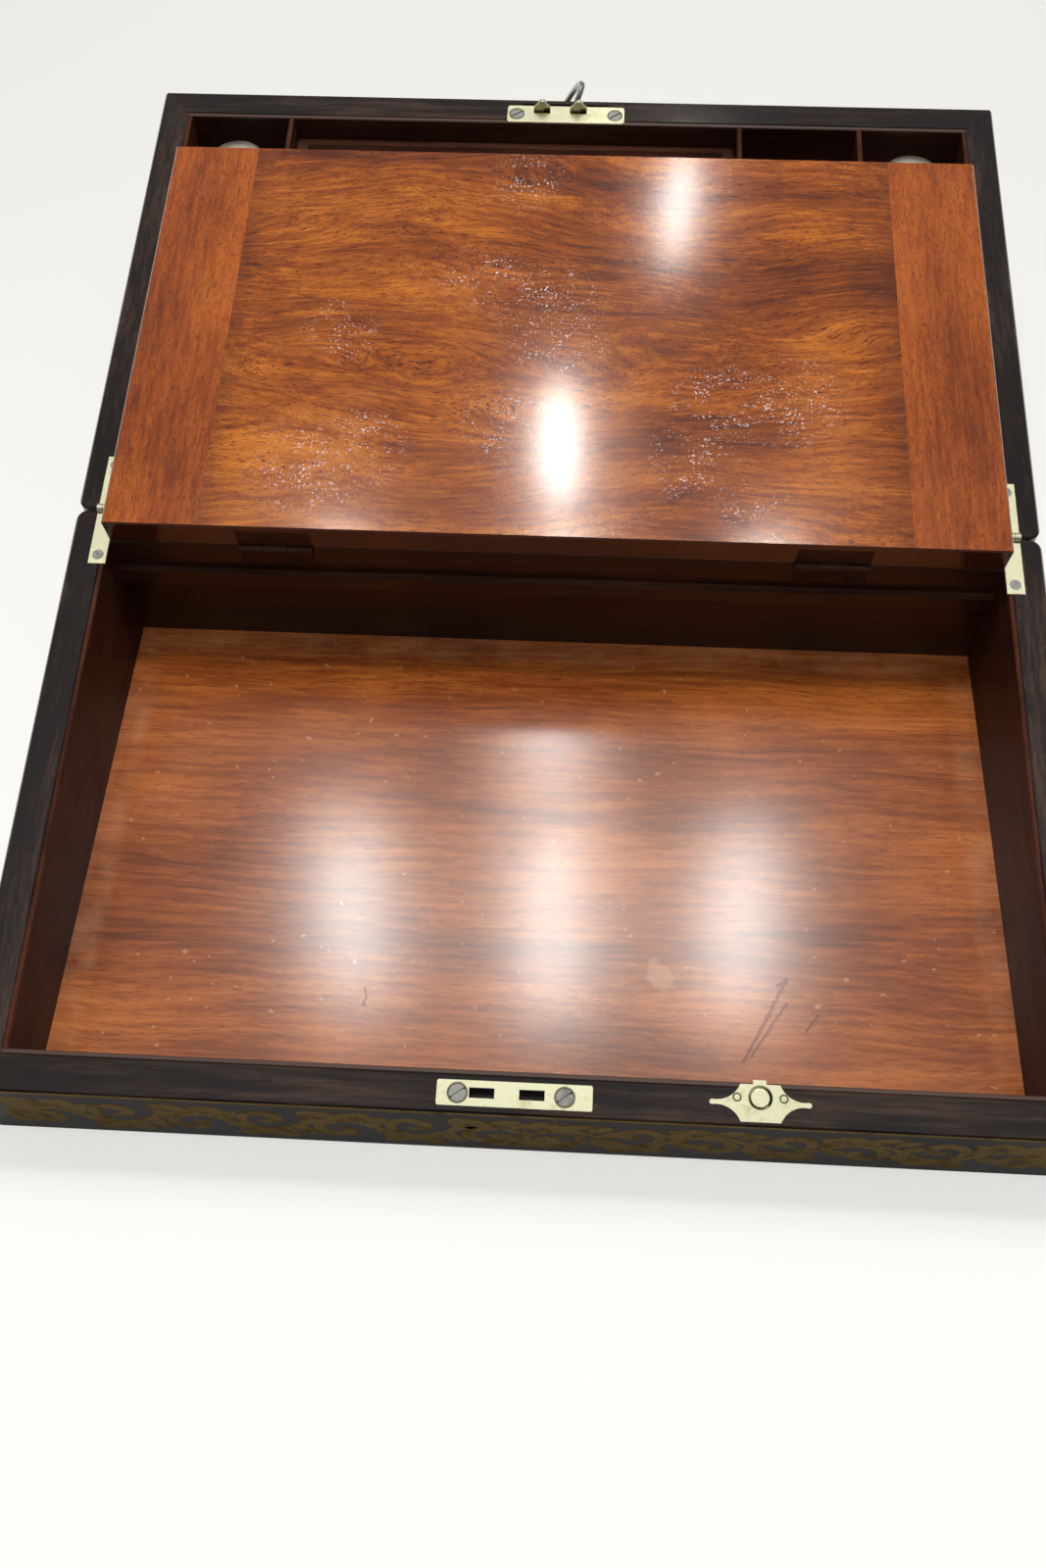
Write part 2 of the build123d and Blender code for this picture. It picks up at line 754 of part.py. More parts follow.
with BuildPart() as flap_butt_lid_leaves:
    with BuildSketch(butt_plane(butt_x - butt_length / 2, True)):
        with Locations((leaf_face + butt_leaf_thickness / 2, -butt_leaf_height / 2)):
            Rectangle(butt_leaf_thickness, butt_leaf_height)
    extrude(amount=butt_length)
    with BuildSketch(butt_plane(butt_x - butt_knuckle / 2 - butt_knuckle_gap, True)):
        Circle(butt_barrel_radius + butt_clearance)
    extrude(amount=butt_knuckle + 2 * butt_knuckle_gap, mode=Mode.SUBTRACT)
    for start in (butt_x - butt_length / 2, butt_x + butt_length / 2 - butt_knuckle):
        with BuildSketch(butt_plane(start, True)):
            Circle(butt_barrel_radius)
            with Locations(((leaf_face + butt_leaf_thickness) / 2, -butt_barrel_radius / 2)):
                Rectangle(leaf_face + butt_leaf_thickness, butt_barrel_radius)
        extrude(amount=butt_knuckle)
    with BuildSketch(butt_plane(butt_x - butt_length / 2, True)):
        Circle(butt_pin_radius + 0.05)
    extrude(amount=butt_length, mode=Mode.SUBTRACT)
    mirror(about=Plane.YZ)
finish(flap_butt_lid_leaves.part, "flap_butt_lid_leaves")

# Flap leaves as they lie with the flap folded over: away from the viewer and above the pivot
flap_leaf_low = flap_edge_from_pivot
with BuildPart() as flap_butt_flap_leaves:
    with BuildSketch(butt_plane(butt_x - butt_length / 2, False)):
        with Locations(
            (flap_leaf_low + butt_leaf_thickness / 2, pivot_depth + seat_gap + 0.1 + butt_leaf_height / 2)
        ):
            Rectangle(butt_leaf_thickness, butt_leaf_height)
    extrude(amount=butt_length)
    with BuildSketch(butt_plane(butt_x - butt_knuckle / 2, False)):
        Circle(butt_barrel_radius)
        Rectangle(flap_leaf_low + butt_leaf_thickness, butt_barrel_radius, align=(Align.MIN, Align.MIN))
    extrude(amount=butt_knuckle)
    for side in (-1, 1):
        outer_start = butt_x + side * (butt_knuckle + butt_knuckle_gap) - butt_knuckle / 2
        with BuildSketch(butt_plane(outer_start - butt_knuckle_gap, False)):
            Circle(butt_barrel_radius + butt_clearance)
        extrude(amount=butt_knuckle + 2 * butt_knuckle_gap - 0.3, mode=Mode.SUBTRACT)
    with BuildSketch(butt_plane(butt_x - butt_length / 2, False)):
        Circle(butt_pin_radius + 0.05)
    extrude(amount=butt_length, mode=Mode.SUBTRACT)
    mirror(about=Plane.YZ)
finish(flap_butt_flap_leaves.part, "flap_butt_flap_leaves")

with BuildPart() as flap_hinge_pins:
    with BuildSketch(butt_plane(butt_x - butt_length / 2, False)):
        Circle(butt_pin_radius)
    extrude(amount=butt_length)
    mirror(about=Plane.YZ)
finish(flap_hinge_pins.part, "flap_hinge_pins")


def clamped_board(prefix, u0, u1, h0, leather_low, cutters):
    """A flap: panel with tongues, two grooved cleats and a leather skin on one face."""
    h_middle = h0 + flap_thickness / 2
    panel_half = flap_half - cleat_width
    leather_h = h0 if leather_low else h0 + flap_thickness - leather_thickness
    leather_half = flap_half - flap_border
    leather = slope_block(
        -leather_half, leather_half, u0 + flap_border, u1 - flap_border, leather_h, leather_h + leather_thickness
    )
    with BuildPart() as board:
        add(slope_block(-flap_half, flap_half, u0, u1, h0, h0 + flap_thickness))
        chamfer(board.edges(), flap_arris)
    with BuildPart() as panel:
        add(slope_block(-panel_half, panel_half, u0, u1, h0, h0 + flap_thickness))
        add(
            slope_block(
                -panel_half - tongue_length,
                panel_half + tongue_length,
                u0,
                u1,
                h_middle - tongue_thickness / 2,
                h_middle + tongue_thickness / 2,
            )
        )
        add(board.part, mode=Mode.INTERSECT)
        add(leather, mode=Mode.SUBTRACT)
        for cutter in cutters:
            add(cutter, mode=Mode.SUBTRACT)
    groove = slope_block(
        -panel_half - tongue_length - 0.2,
        panel_half + tongue_length + 0.2,
        u0 - 1,
        u1 + 1,
        h_middle - tongue_thickness / 2 - 0.05,
        h_middle + tongue_thickness / 2 + 0.05,
    )
    with BuildPart() as cleats:
        for side in (-1, 1):
            edges = sorted((side * panel_half, side * flap_half))
            add(slope_block(edges[0], edges[1], u0, u1, h0, h0 + flap_thickness))
        add(board.part, mode=Mode.INTERSECT)
        add(groove, mode=Mode.SUBTRACT)
        add(leather, mode=Mode.SUBTRACT)
        for cutter in cutters:
            add(cutter, mode=Mode.SUBTRACT)
    finish(panel.part, f"{prefix}_panel")
    finish(cleats.part, f"{prefix}_cleats")
    finish(leather, f"{prefix}_leather")


with BuildPart() as flap_butt_pockets:
    with BuildSketch(butt_plane(butt_x - butt_length / 2 - 0.1, False)):
        with Locations((flap_leaf_low + butt_leaf_thickness / 2, pivot_depth + seat_gap + 0.1)):
            Rectangle(butt_leaf_thickness, butt_leaf_height, align=(Align.CENTER, Align.MIN))
            Rectangle(butt_leaf_thickness, 3, align=(Align.CENTER, Align.MAX))
    extrude(amount=butt_length + 0.2)
    with BuildSketch(butt_plane(butt_x - butt_length / 2 - butt_clearance, False)):
        Circle(butt_barrel_radius + butt_clearance)
    extrude(amount=butt_length + 2 * butt_clearance)
    mirror(about=Plane.YZ)

# Near flap folded over onto the far one, and far flap lying in the base
face_from_pivot = flap_recess - pivot_depth
near_flap_width = pivot_u - flap_edge_from_pivot - near_lining_u - flap_front_gap
near_flap_start = pivot_u + flap_edge_from_pivot
clamped_board(
    "near_flap",
    near_flap_start,
    near_flap_start + near_flap_width,
    -pivot_depth + face_from_pivot,
    True,
    [flap_butt_pockets.part],
)
tray_row_y = base_far - wall_thickness - lining_thickness - tray_row_depth
partition_y = tray_row_y - partition_thickness
far_flap_start = slope_u(base_hinge_lining_y) + 0.5
far_flap_end = slope_u(partition_y, -flap_recess - flap_thickness) - 0.5
clamped_board("far_flap", far_flap_start, far_flap_end, -flap_recess - flap_thickness, False, [])


def case_plan(y0, y1, hinge_end):
    """Plan of one half's four walls; hinge_end is 0 where the hinge side has the lower y."""
    with BuildSketch() as plan:
        with Locations((0, (y0 + y1) / 2)):
            Rectangle(box_length, y1 - y0)
        rows = plan.vertices().group_by(Axis.Y)
        hinge_corners = rows[0] if hinge_end == 0 else rows[-1]
        fillet(hinge_corners, hinge_corner_radius)
        rows = plan.vertices().group_by(Axis.Y)
        outer_corners = rows[-1] if hinge_end == 0 else rows[0]
        fillet(outer_corners, corner_radius)
        with Locations((0, (y0 + y1) / 2)):
            Rectangle(box_length - 2 * wall_thickness, y1 - y0 - 2 * wall_thickness, mode=Mode.SUBTRACT)
    return plan.sketch


def case_ring(plan):
    """The four walls of one half in one ring, cut down to the sloping rim, with eased edges."""
    with BuildPart() as ring:
        with BuildSketch():
            add(plan)
        extrude(amount=case_top)
        split(bisect_by=rim_plane, keep=Keep.BOTTOM)
        level_faces = ring.faces().filter_by(lambda face: abs(face.normal_at().Z) > 0.9)
        under, rim = level_faces.sort_by(Axis.Z)
        inner_edges = rim.inner_wires()[0].edges()
        chamfer(under.outer_wire().edges() + rim.outer_wire().edges(), rim_arris)
        chamfer(inner_edges, rim_inner_arris)
    return ring.part


def mitred_wall(label, ring, corners, cutters):
    """One wall of a half, cut out of its ring along the mitres."""
    with BuildPart() as wall:
        add(ring)
        with BuildSketch():
            with BuildLine():
                Polyline(*corners, close=True)
            make_face()
        extrude(amount=case_top, mode=Mode.INTERSECT)
        for cutter in cutters:
            add(cutter, mode=Mode.SUBTRACT)
    finish(wall.part, label)


def case_walls(prefix, y0, y1, low_name, high_name, hinge_end, cutters):
    """The four mitred walls of one half."""
    ring = case_ring(case_plan(y0, y1, hinge_end))
    wall = wall_thickness
    outer = ((-half_length, y0), (half_length, y0), (half_length, y1), (-half_length, y1))
    inner_x = half_length - wall
    inner = ((-inner_x, y0 + wall), (inner_x, y0 + wall), (inner_x, y1 - wall), (-inner_x, y1 - wall))
    for index, name in enumerate((low_name, "right", high_name, "left")):
        following = (index + 1) % 4
        corners = (outer[index], outer[following], inner[following], inner[index])
        mitred_wall(f"{prefix}_{name}_wall", ring, corners, cutters)


def bottom_board(y0, y1, thickness):
    """A board let into a rebate in the walls of one half."""
    x = half_length - board_margin
    return block(-x, x, y0 + board_margin, y1 - board_margin, 0, thickness)


base_board = bottom_board(base_near, base_far, base_board_thickness)
lid_board = bottom_board(lid_near, lid_far, lid_board_thickness)
finish(base_board, "base_bottom")
finish(lid_board, "lid_panel")
base_cutters = [base_board, hinge_pockets.part, lock_recess.part]
lid_cutters = [lid_board, hinge_pockets.part, strike_recess.part, catch_recess.part, edging]
base_cutters.append(hinge_screws(1, 0.05))
lid_cutters.append(hinge_screws(-1, 0.05))
case_walls("base", base_near, base_far, "hinge", "far", 0, base_cutters)
case_walls("lid", lid_near, lid_far, "near", "hinge", 1, lid_cutters)


def lining(label, bounds, floor, cutters):
    """Thin lining boards that stand on the floor and stop just below the rim."""
    with BuildPart() as strip:
        for x0, x1, y0, y1 in bounds:
            add(block(x0, x1, y0, y1, floor, case_top))
        split(bisect_by=lining_plane, keep=Keep.BOTTOM)
        top_edges = strip.faces().filter_by(lining_plane).edges()
        chamfer(top_edges.filter_by(lambda edge: edge.length > 10), lining_arris)
        for cutter in cutters:
            add(cutter, mode=Mode.SUBTRACT)
    finish(strip.part, label)


def half_linings(prefix, y0, y1, low_name, high_name, floor, cutters):
    """The linings inside one half: two long ones and a pair at the sides."""
    lining_x = inner_half + lining_thickness
    low = y0 + wall_thickness
    high = y1 - wall_thickness
    thin = lining_thickness
    lining(f"{prefix}_{low_name}_lining", [(-lining_x, lining_x, low, low + thin)], floor, cutters)
    lining(f"{prefix}_{high_name}_lining", [(-lining_x, lining_x, high - thin, high)], floor, cutters)
    sides = [
        (-lining_x, -inner_half, low + thin, high - thin),
        (inner_half, lining_x, low + thin, high - thin),
    ]
    lining(f"{prefix}_side_linings", sides, floor, cutters)


base_lining_cutters = [hinge_pockets.part, lock_recess.part, hinge_screws(1, 0.05)]
lid_lining_cutters = [hinge_pockets.part, catch_recess.part, lid_butt_pockets.part, hinge_screws(-1, 0.05)]
half_linings("base", base_near, base_far, "hinge", "far", base_board_thickness, base_lining_cutters)
half_linings("lid", lid_near, lid_far, "near", "hinge", lid_board_thickness, lid_lining_cutters)


def bearers(label, bounds):
    """Strips that carry a flap just under its lower face."""
    top = -flap_recess - flap_thickness - seat_gap
    with BuildPart() as strips:
        for y0, y1 in bounds:
            add(block(-inner_half, inner_half, y0, y1, 0, case_top))
        split(bisect_by=slope.offset(top), keep=Keep.BOTTOM)
        split(bisect_by=slope.offset(top - bearer_height), keep=Keep.TOP)
    finish(strips.part, label)


lid_near_lining_y = lid_near + wall_thickness + lining_thickness
bearers(
    "far_flap_bearers",
    [(base_hinge_lining_y, base_hinge_lining_y + bearer_width), (partition_y - bearer_width, partition_y)],
)
bearers(
    "near_flap_bearers",
    [(lid_near_lining_y, lid_near_lining_y + bearer_width), (lid_hinge_lining_y - bearer_width, lid_hinge_lining_y)],
)

# Compartments behind the far flap
deck_top = deck_height + deck_thickness
tray_row_end = tray_row_y + tray_row_depth
lining("long_partition", [(-inner_half, inner_half, partition_y, tray_row_y)], base_board_thickness, [])
finish(block(-inner_half, inner_half, tray_row_y, tray_row_end, deck_height, deck_top), "pen_deck")
well_divider_x = inner_half - ink_well_width
tray_divider_x = well_divider_x - divider_thickness - small_compartment_width
for label, x in (
    ("left_well_divider", -well_divider_x),
    ("tray_divider", tray_divider_x - divider_thickness),
    ("right_well_divider", well_divider_x - divider_thickness),
):
    lining(label, [(x, x + divider_thickness, tray_row_y, tray_row_end)], deck_top, [])

# Pen tray on two bearers, with a scooped top
tray_x0 = -well_divider_x + divider_thickness + tray_gap
tray_x1 = tray_divider_x - divider_thickness - tray_gap
tray_y = (tray_row_y + tray_row_end) / 2
tray_bottom = deck_top + tray_lift + seat_gap
tray_top = tray_bottom + tray_height
with BuildPart() as pen_tray_bearers:
    for x0 in (tray_x0 - tray_gap, tray_x1 + tray_gap - tray_bearer_width):
        add(block(x0, x0 + tray_bearer_width, tray_row_y, tray_row_end, deck_top, deck_top + tray_lift))
finish(pen_tray_bearers.part, "pen_tray_bearers")

scoop_radius = ((scoop_width / 2) ** 2 + scoop_depth**2) / (2 * scoop_depth)
with BuildPart() as pen_tray:
    add(block(tray_x0, tray_x1, tray_row_y + tray_gap, tray_row_end - tray_gap, tray_bottom, tray_top))
    chamfer(pen_tray.edges().group_by(Axis.Z)[-1], tray_arris)
    with BuildSketch(Plane(origin=(tray_x0 + tray_end, tray_y, tray_top), x_dir=(0, 1, 0), z_dir=(1, 0, 0))):
        with Locations((0, scoop_radius - scoop_depth)):
            Circle(scoop_radius)
    extrude(amount=tray_x1 - tray_x0 - 2 * tray_end, mode=Mode.SUBTRACT)
finish(pen_tray.part, "pen_tray")

# Inkwells: square bottle, brass collar with a thread, domed cap
bottle_z = deck_top + seat_gap
shoulder_z = bottle_z + bottle_height
neck_z = shoulder_z + neck_height
collar_z = shoulder_z + collar_height
cap_z = collar_z + seat_gap
bottle_y = tray_y + bottle_shift
for label, x in (("left", -inner_half + ink_well_width / 2), ("right", inner_half - ink_well_width / 2)):
    axis_plane = Plane(origin=(x, bottle_y, 0), x_dir=(1, 0, 0), z_dir=(0, -1, 0))
    axis = Axis((x, bottle_y, 0), (0, 0, 1))
    with BuildPart() as glass:
        with BuildSketch(Plane.XY.offset(bottle_z)):
            with Locations((x, bottle_y)):
                Rectangle(bottle_width, bottle_width)
        extrude(amount=bottle_height)
        chamfer(glass.edges().filter_by(Axis.Z), bottle_corner)
        chamfer(glass.edges().group_by(Axis.Z)[-1], bottle_shoulder)
        with BuildSketch(Plane.XY.offset(shoulder_z)):
            with Locations((x, bottle_y)):
                Circle(neck_radius)
        extrude(amount=neck_height)
        with BuildSketch(axis_plane):
            with BuildLine():
                Polyline(
                    (0, bottle_z + bottle_floor),
                    (bottle_cavity_radius, bottle_z + bottle_floor),
                    (bottle_cavity_radius, shoulder_z - 8),
                    (neck_bore_radius, shoulder_z - 2),
                    (neck_bore_radius, neck_z + 1),
                    (0, neck_z + 1),
                    close=True,
                )
            make_face()
        revolve(axis=axis, mode=Mode.SUBTRACT)
    finish(glass.part, f"{label}_inkwell_glass")

    with BuildPart() as collar:
        with BuildSketch(axis_plane):
            with BuildLine():
                Polyline(
                    (neck_radius, shoulder_z),
                    (cap_radius, shoulder_z),
                    (cap_radius, collar_z),
                    (thread_radius, collar_z),
                    (thread_radius, collar_z + thread_height),
                    (neck_bore_radius + 1, collar_z + thread_height),
                    (neck_bore_radius + 1, neck_z),
                    (neck_radius, neck_z),
                    close=True,
                )
            make_face()
        revolve(axis=axis)
    finish(collar.part, f"{label}_inkwell_collar")

    cap_bore = thread_radius + thread_clearance
    dome_rise = cap_height - cap_skirt_height
    dome_radius = (cap_radius**2 + dome_rise**2) / (2 * dome_rise)
    dome_shoulder = (dome_radius**2 - (cap_radius / 2) ** 2) ** 0.5
    with BuildPart() as cap:
        with BuildSketch(axis_plane):
            with BuildLine():
                Polyline(
                    (0, cap_z + cap_height),
                    (0, cap_z + thread_height),
                    (cap_bore, cap_z + thread_height),
                    (cap_bore, cap_z),
                    (cap_radius, cap_z),
                    (cap_radius, cap_z + cap_skirt_height),
                )
                ThreePointArc(
                    (cap_radius, cap_z + cap_skirt_height),
                    (cap_radius / 2, cap_z + cap_height - dome_radius + dome_shoulder),
                    (0, cap_z + cap_height),
                )
            make_face()
        revolve(axis=axis)
    finish(cap.part, f"{label}_inkwell_cap")
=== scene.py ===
# %% [markdown]
# This script dresses a writing slope: a sloping ebonised box that opens like a book. Its lid lies flat
# towards the viewer and its near writing flap is folded over onto the far one, polished mahogany side up.
# The pieces come in as a fixed frame, so this file adds finishes, small trim, light and a camera.

# %% Load the frame
import math

import bmesh
import bpy
from mathutils import Matrix, Quaternion, Vector


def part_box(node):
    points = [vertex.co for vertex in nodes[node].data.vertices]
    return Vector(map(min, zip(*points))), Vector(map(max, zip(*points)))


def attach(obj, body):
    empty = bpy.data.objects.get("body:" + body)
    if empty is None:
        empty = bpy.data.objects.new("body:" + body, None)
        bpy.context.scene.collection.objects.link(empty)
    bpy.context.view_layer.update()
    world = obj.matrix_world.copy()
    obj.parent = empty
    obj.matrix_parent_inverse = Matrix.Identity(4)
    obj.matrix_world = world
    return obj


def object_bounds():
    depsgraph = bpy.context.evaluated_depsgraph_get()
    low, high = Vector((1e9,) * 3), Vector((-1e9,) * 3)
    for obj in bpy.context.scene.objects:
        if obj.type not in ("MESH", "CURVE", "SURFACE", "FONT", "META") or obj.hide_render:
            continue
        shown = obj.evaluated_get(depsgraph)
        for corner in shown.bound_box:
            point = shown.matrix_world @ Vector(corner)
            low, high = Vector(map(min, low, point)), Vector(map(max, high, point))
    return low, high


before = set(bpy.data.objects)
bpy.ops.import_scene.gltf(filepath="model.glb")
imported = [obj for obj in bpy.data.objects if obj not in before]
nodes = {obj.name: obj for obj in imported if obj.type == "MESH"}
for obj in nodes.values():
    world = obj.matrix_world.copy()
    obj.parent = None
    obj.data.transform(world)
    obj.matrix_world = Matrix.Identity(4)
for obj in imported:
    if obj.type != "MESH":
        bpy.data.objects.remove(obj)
cad_low, cad_high = [list(corner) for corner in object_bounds()]
scene = bpy.context.scene
scene.view_settings.view_transform = "Standard"
print("pieces:", len(nodes))

# %% [markdown]
# A finish is easier to keep true over many pieces when its parts are shared. Each effect below is a
# shader node group, and a material wires one or two of them to its own Principled shader. A small class
# keeps the wiring short: most of its methods add a node, join it up and give back its output.

# %% Helpers for node groups
def new_group(name, inputs, outputs):
    """A shader node group with named sockets and its input and output nodes."""
    group = bpy.data.node_groups.new(name, "ShaderNodeTree")
    for label, kind, value in inputs:
        socket = group.interface.new_socket(label, in_out="INPUT", socket_type="NodeSocket" + kind)
        if value is not None:
            socket.default_value = value
    for label, kind in outputs:
        group.interface.new_socket(label, in_out="OUTPUT", socket_type="NodeSocket" + kind)
    return group, group.nodes.new("NodeGroupInput"), group.nodes.new("NodeGroupOutput")


class Wires:
    """Adds nodes to one tree and joins them up."""

    def __init__(self, tree):
        self.tree = tree

    def put(self, target, value):
        if isinstance(value, bpy.types.NodeSocket):
            self.tree.links.new(value, target)
        elif value is not None:
            target.default_value = value

    def math(self, operation, first, second=None, third=None, clamp=False):
        node = self.tree.nodes.new("ShaderNodeMath")
        node.operation = operation
        node.use_clamp = clamp
        for target, value in zip(node.inputs, (first, second, third)):
            self.put(target, value)
        return node.outputs[0]

    def vector(self, operation, first, second=None):
        node = self.tree.nodes.new("ShaderNodeVectorMath")
        node.operation = operation
        self.put(node.inputs[0], first)
        self.put(node.inputs["Scale"] if operation == "SCALE" else node.inputs[1], second)
        single = operation in ("LENGTH", "DOT_PRODUCT", "DISTANCE")
        return node.outputs["Value"] if single else node.outputs[0]

    def noise(self, vector, scale, detail=2.0, roughness=0.5):
        node = self.tree.nodes.new("ShaderNodeTexNoise")
        self.put(node.inputs["Vector"], vector)
        for label, value in (("Scale", scale), ("Detail", detail), ("Roughness", roughness)):
            self.put(node.inputs[label], value)
        return node.outputs["Fac"]

    def streaks(self, vector, along, across, detail=2.0, roughness=0.5):
        """Noise that is stretched along X, like grain or brushing."""
        stretched = self.vector("MULTIPLY", vector, (along, across, across))
        return self.noise(stretched, 1.0, detail, roughness)

    def span(self, value, low, high, to_low=0.0, to_high=1.0):
        """Spread a value from one range to another, softly held at both ends."""
        node = self.tree.nodes.new("ShaderNodeMapRange")
        node.interpolation_type = "SMOOTHSTEP"
        for label, given in (
            ("Value", value), ("From Min", low), ("From Max", high),
            ("To Min", to_low), ("To Max", to_high),
        ):
            self.put(node.inputs[label], given)
        return node.outputs["Result"]

    def mix(self, amount, first, second, blend="MIX"):
        node = self.tree.nodes.new("ShaderNodeMix")
        node.data_type = "RGBA"
        node.blend_type = blend
        self.put(node.inputs["Factor"], amount)
        self.put(node.inputs["A"], first)
        self.put(node.inputs["B"], second)
        return [socket for socket in node.outputs if socket.type == "RGBA"][0]

    def split(self, vector):
        node = self.tree.nodes.new("ShaderNodeSeparateXYZ")
        self.put(node.inputs[0], vector)
        return node.outputs

    def away(self, vector, x, y, squeeze=1.0):
        """How far a point lies from an upright line through x and y."""
        offset = self.vector("SUBTRACT", vector, (x, y, 0.0))
        return self.vector("LENGTH", self.vector("MULTIPLY", offset, (1.0, squeeze, 0.0)))

    def group(self, group, **values):
        node = self.tree.nodes.new("ShaderNodeGroup")
        node.node_tree = group
        for label, value in values.items():
            self.put(node.inputs[label.replace("_", " ")], value)
        return node.outputs

    def first(self, kind):
        """The first node of one kind in this tree."""
        return next(node for node in self.tree.nodes if node.bl_idname == kind)

    def facing(self):
        """The height part of the piece's own normal: 1 on its top and -1 on its underside."""
        return self.split(self.first("ShaderNodeTexCoord").outputs["Normal"])["Z"]


print("wiring helpers:", len([name for name in vars(Wires) if not name.startswith("_")]))

# %% [markdown]
# Mahogany is read by its broad bands, its long streaks and its short dark pores. A wave texture could
# draw bands, but they come out too even, so one group makes all three from noise that is stretched along
# the grain. The grain runs along the group's own X, so a material only has to turn its coordinates. A
# slow noise bends the grain and gives the board its figure.

# %% Timber group
timber, given, result = new_group(
    "timber",
    [
        ("Vector", "Vector", None),
        ("Dark", "Color", (0.1, 0.03, 0.01, 1)),
        ("Middle", "Color", (0.3, 0.1, 0.02, 1)),
        ("Pale", "Color", (0.5, 0.18, 0.04, 1)),
        ("Swirl", "Float", 0.03),
        ("Pores", "Float", 0.5),
    ],
    [("Color", "Color"), ("Height", "Float")],
)
w = Wires(timber)
place, dark = given.outputs["Vector"], given.outputs["Dark"]
slow = w.tree.nodes.new("ShaderNodeTexNoise")
w.put(slow.inputs["Vector"], w.vector("MULTIPLY", place, (5.0, 11.0, 11.0)))
slow.inputs["Scale"].default_value = 1.0
drift = w.vector("SUBTRACT", slow.outputs["Color"], (0.5, 0.5, 0.5))
figured = w.vector("ADD", place, w.vector("SCALE", drift, given.outputs["Swirl"]))
broad = w.streaks(figured, 5.0, 42.0, 3.0, 0.55)
long_streaks = w.streaks(figured, 22.0, 420.0, 4.0, 0.7)
flecks = w.streaks(figured, 130.0, 1300.0, 2.0, 0.6)
pores = w.span(w.streaks(figured, 170.0, 2400.0, 1.0), 0.58, 0.68)
clouds = w.noise(place, 15.0, 3.0)
tone = w.math("ADD", w.math("MULTIPLY", broad, 0.45), w.math("MULTIPLY", long_streaks, 0.55))
tone = w.math("ADD", tone, w.math("MULTIPLY", w.math("SUBTRACT", clouds, 0.5), 0.32))
colour = w.mix(w.span(tone, 0.28, 0.54), dark, given.outputs["Middle"])
colour = w.mix(w.span(tone, 0.46, 0.7), colour, given.outputs["Pale"])
patchy = w.math("MULTIPLY", w.span(flecks, 0.5, 0.68, 0.0, 0.6), w.span(clouds, 0.35, 0.62, 1.0, 0.35))
colour = w.mix(patchy, colour, dark)
colour = w.mix(w.math("MULTIPLY", pores, given.outputs["Pores"]), colour, dark)
height = w.math("SUBTRACT", w.math("MULTIPLY", flecks, 0.4), w.math("MULTIPLY", pores, 0.6))
w.put(result.inputs["Color"], colour)
w.put(result.inputs["Height"], height)
print("timber nodes:", len(timber.nodes))

# %% [markdown]
# French polish is never quite flat. It has a fine orange peel, a few dull rubbed patches and clusters of
# tiny blisters that sparkle near a lamp. Bumps this small would take far too many faces in a mesh, so the
# polish group gives a roughness and a height for them.

# %% Polish group
polish, given, result = new_group(
    "polish",
    [
        ("Vector", "Vector", None),
        ("Gloss", "Float", 0.12),
        ("Rubbed", "Float", 0.2),
        ("Peel", "Float", 0.5),
        ("Blisters", "Float", 0.0),
    ],
    [("Roughness", "Float"), ("Height", "Float")],
)
w = Wires(polish)
place = given.outputs["Vector"]
patches = w.span(w.noise(place, 14.0, 4.0, 0.6), 0.48, 0.72)
scuffs = w.span(w.streaks(place, 900.0, 60.0), 0.63, 0.75)
peel = w.noise(place, 420.0, 2.0, 0.55)
cluster = w.span(w.noise(place, 16.0, 3.0, 0.7), 0.5, 0.66)
blister = w.span(w.noise(place, 900.0, 1.0, 0.5), 0.55, 0.75)
raised = w.math("MULTIPLY", w.math("MULTIPLY", blister, cluster), given.outputs["Blisters"])
dull = w.math("ADD", patches, w.math("MULTIPLY", scuffs, 0.5))
rubbed = w.math("MULTIPLY", dull, given.outputs["Rubbed"])
w.put(result.inputs["Roughness"], w.math("ADD", given.outputs["Gloss"], rubbed))
w.put(result.inputs["Height"], w.math("ADD", w.math("MULTIPLY", peel, given.outputs["Peel"]), raised))
print("polish nodes:", len(polish.nodes))

# %% [markdown]
# Old brass is pale where fingers and dusters reach it and brown in the rest. A mask painted by hand could
# place each spot, but cloudy noise ages all the fittings alike. The patina group mixes clean metal with
# tarnish by such noise and adds fine brushed lines.

# %% Patina group
patina, given, result = new_group(
    "patina",
    [
        ("Vector", "Vector", None),
        ("Clean", "Color", (0.6, 0.55, 0.28, 1)),
        ("Tarnish", "Color", (0.2, 0.13, 0.04, 1)),
        ("Amount", "Float", 0.4),
        ("Gloss", "Float", 0.25),
    ],
    [("Color", "Color"), ("Roughness", "Float"), ("Height", "Float")],
)
w = Wires(patina)
place = given.outputs["Vector"]
spots = w.span(w.noise(place, 110.0, 5.0, 0.65), 0.45, 0.75)
grime = w.span(w.noise(place, 620.0, 2.0, 0.6), 0.56, 0.74, 0.0, 0.5)
lines = w.streaks(place, 150.0, 3200.0)
cover = w.math("MULTIPLY", w.math("MAXIMUM", spots, grime), given.outputs["Amount"])
w.put(result.inputs["Color"], w.mix(cover, given.outputs["Clean"], given.outputs["Tarnish"]))
w.put(result.inputs["Roughness"], w.math("ADD", given.outputs["Gloss"], w.math("MULTIPLY", cover, 0.4)))
w.put(result.inputs["Height"], w.math("ADD", lines, w.math("MULTIPLY", spots, 0.5)))
print("patina nodes:", len(patina.nodes))

# %% [markdown]
# A scratch is less than a hair deep, so it is a mask here and not a cut in the mesh. It is drawn as a
# soft line between two points: the distance from the line gives the mask, and a little noise makes its
# edge ragged.

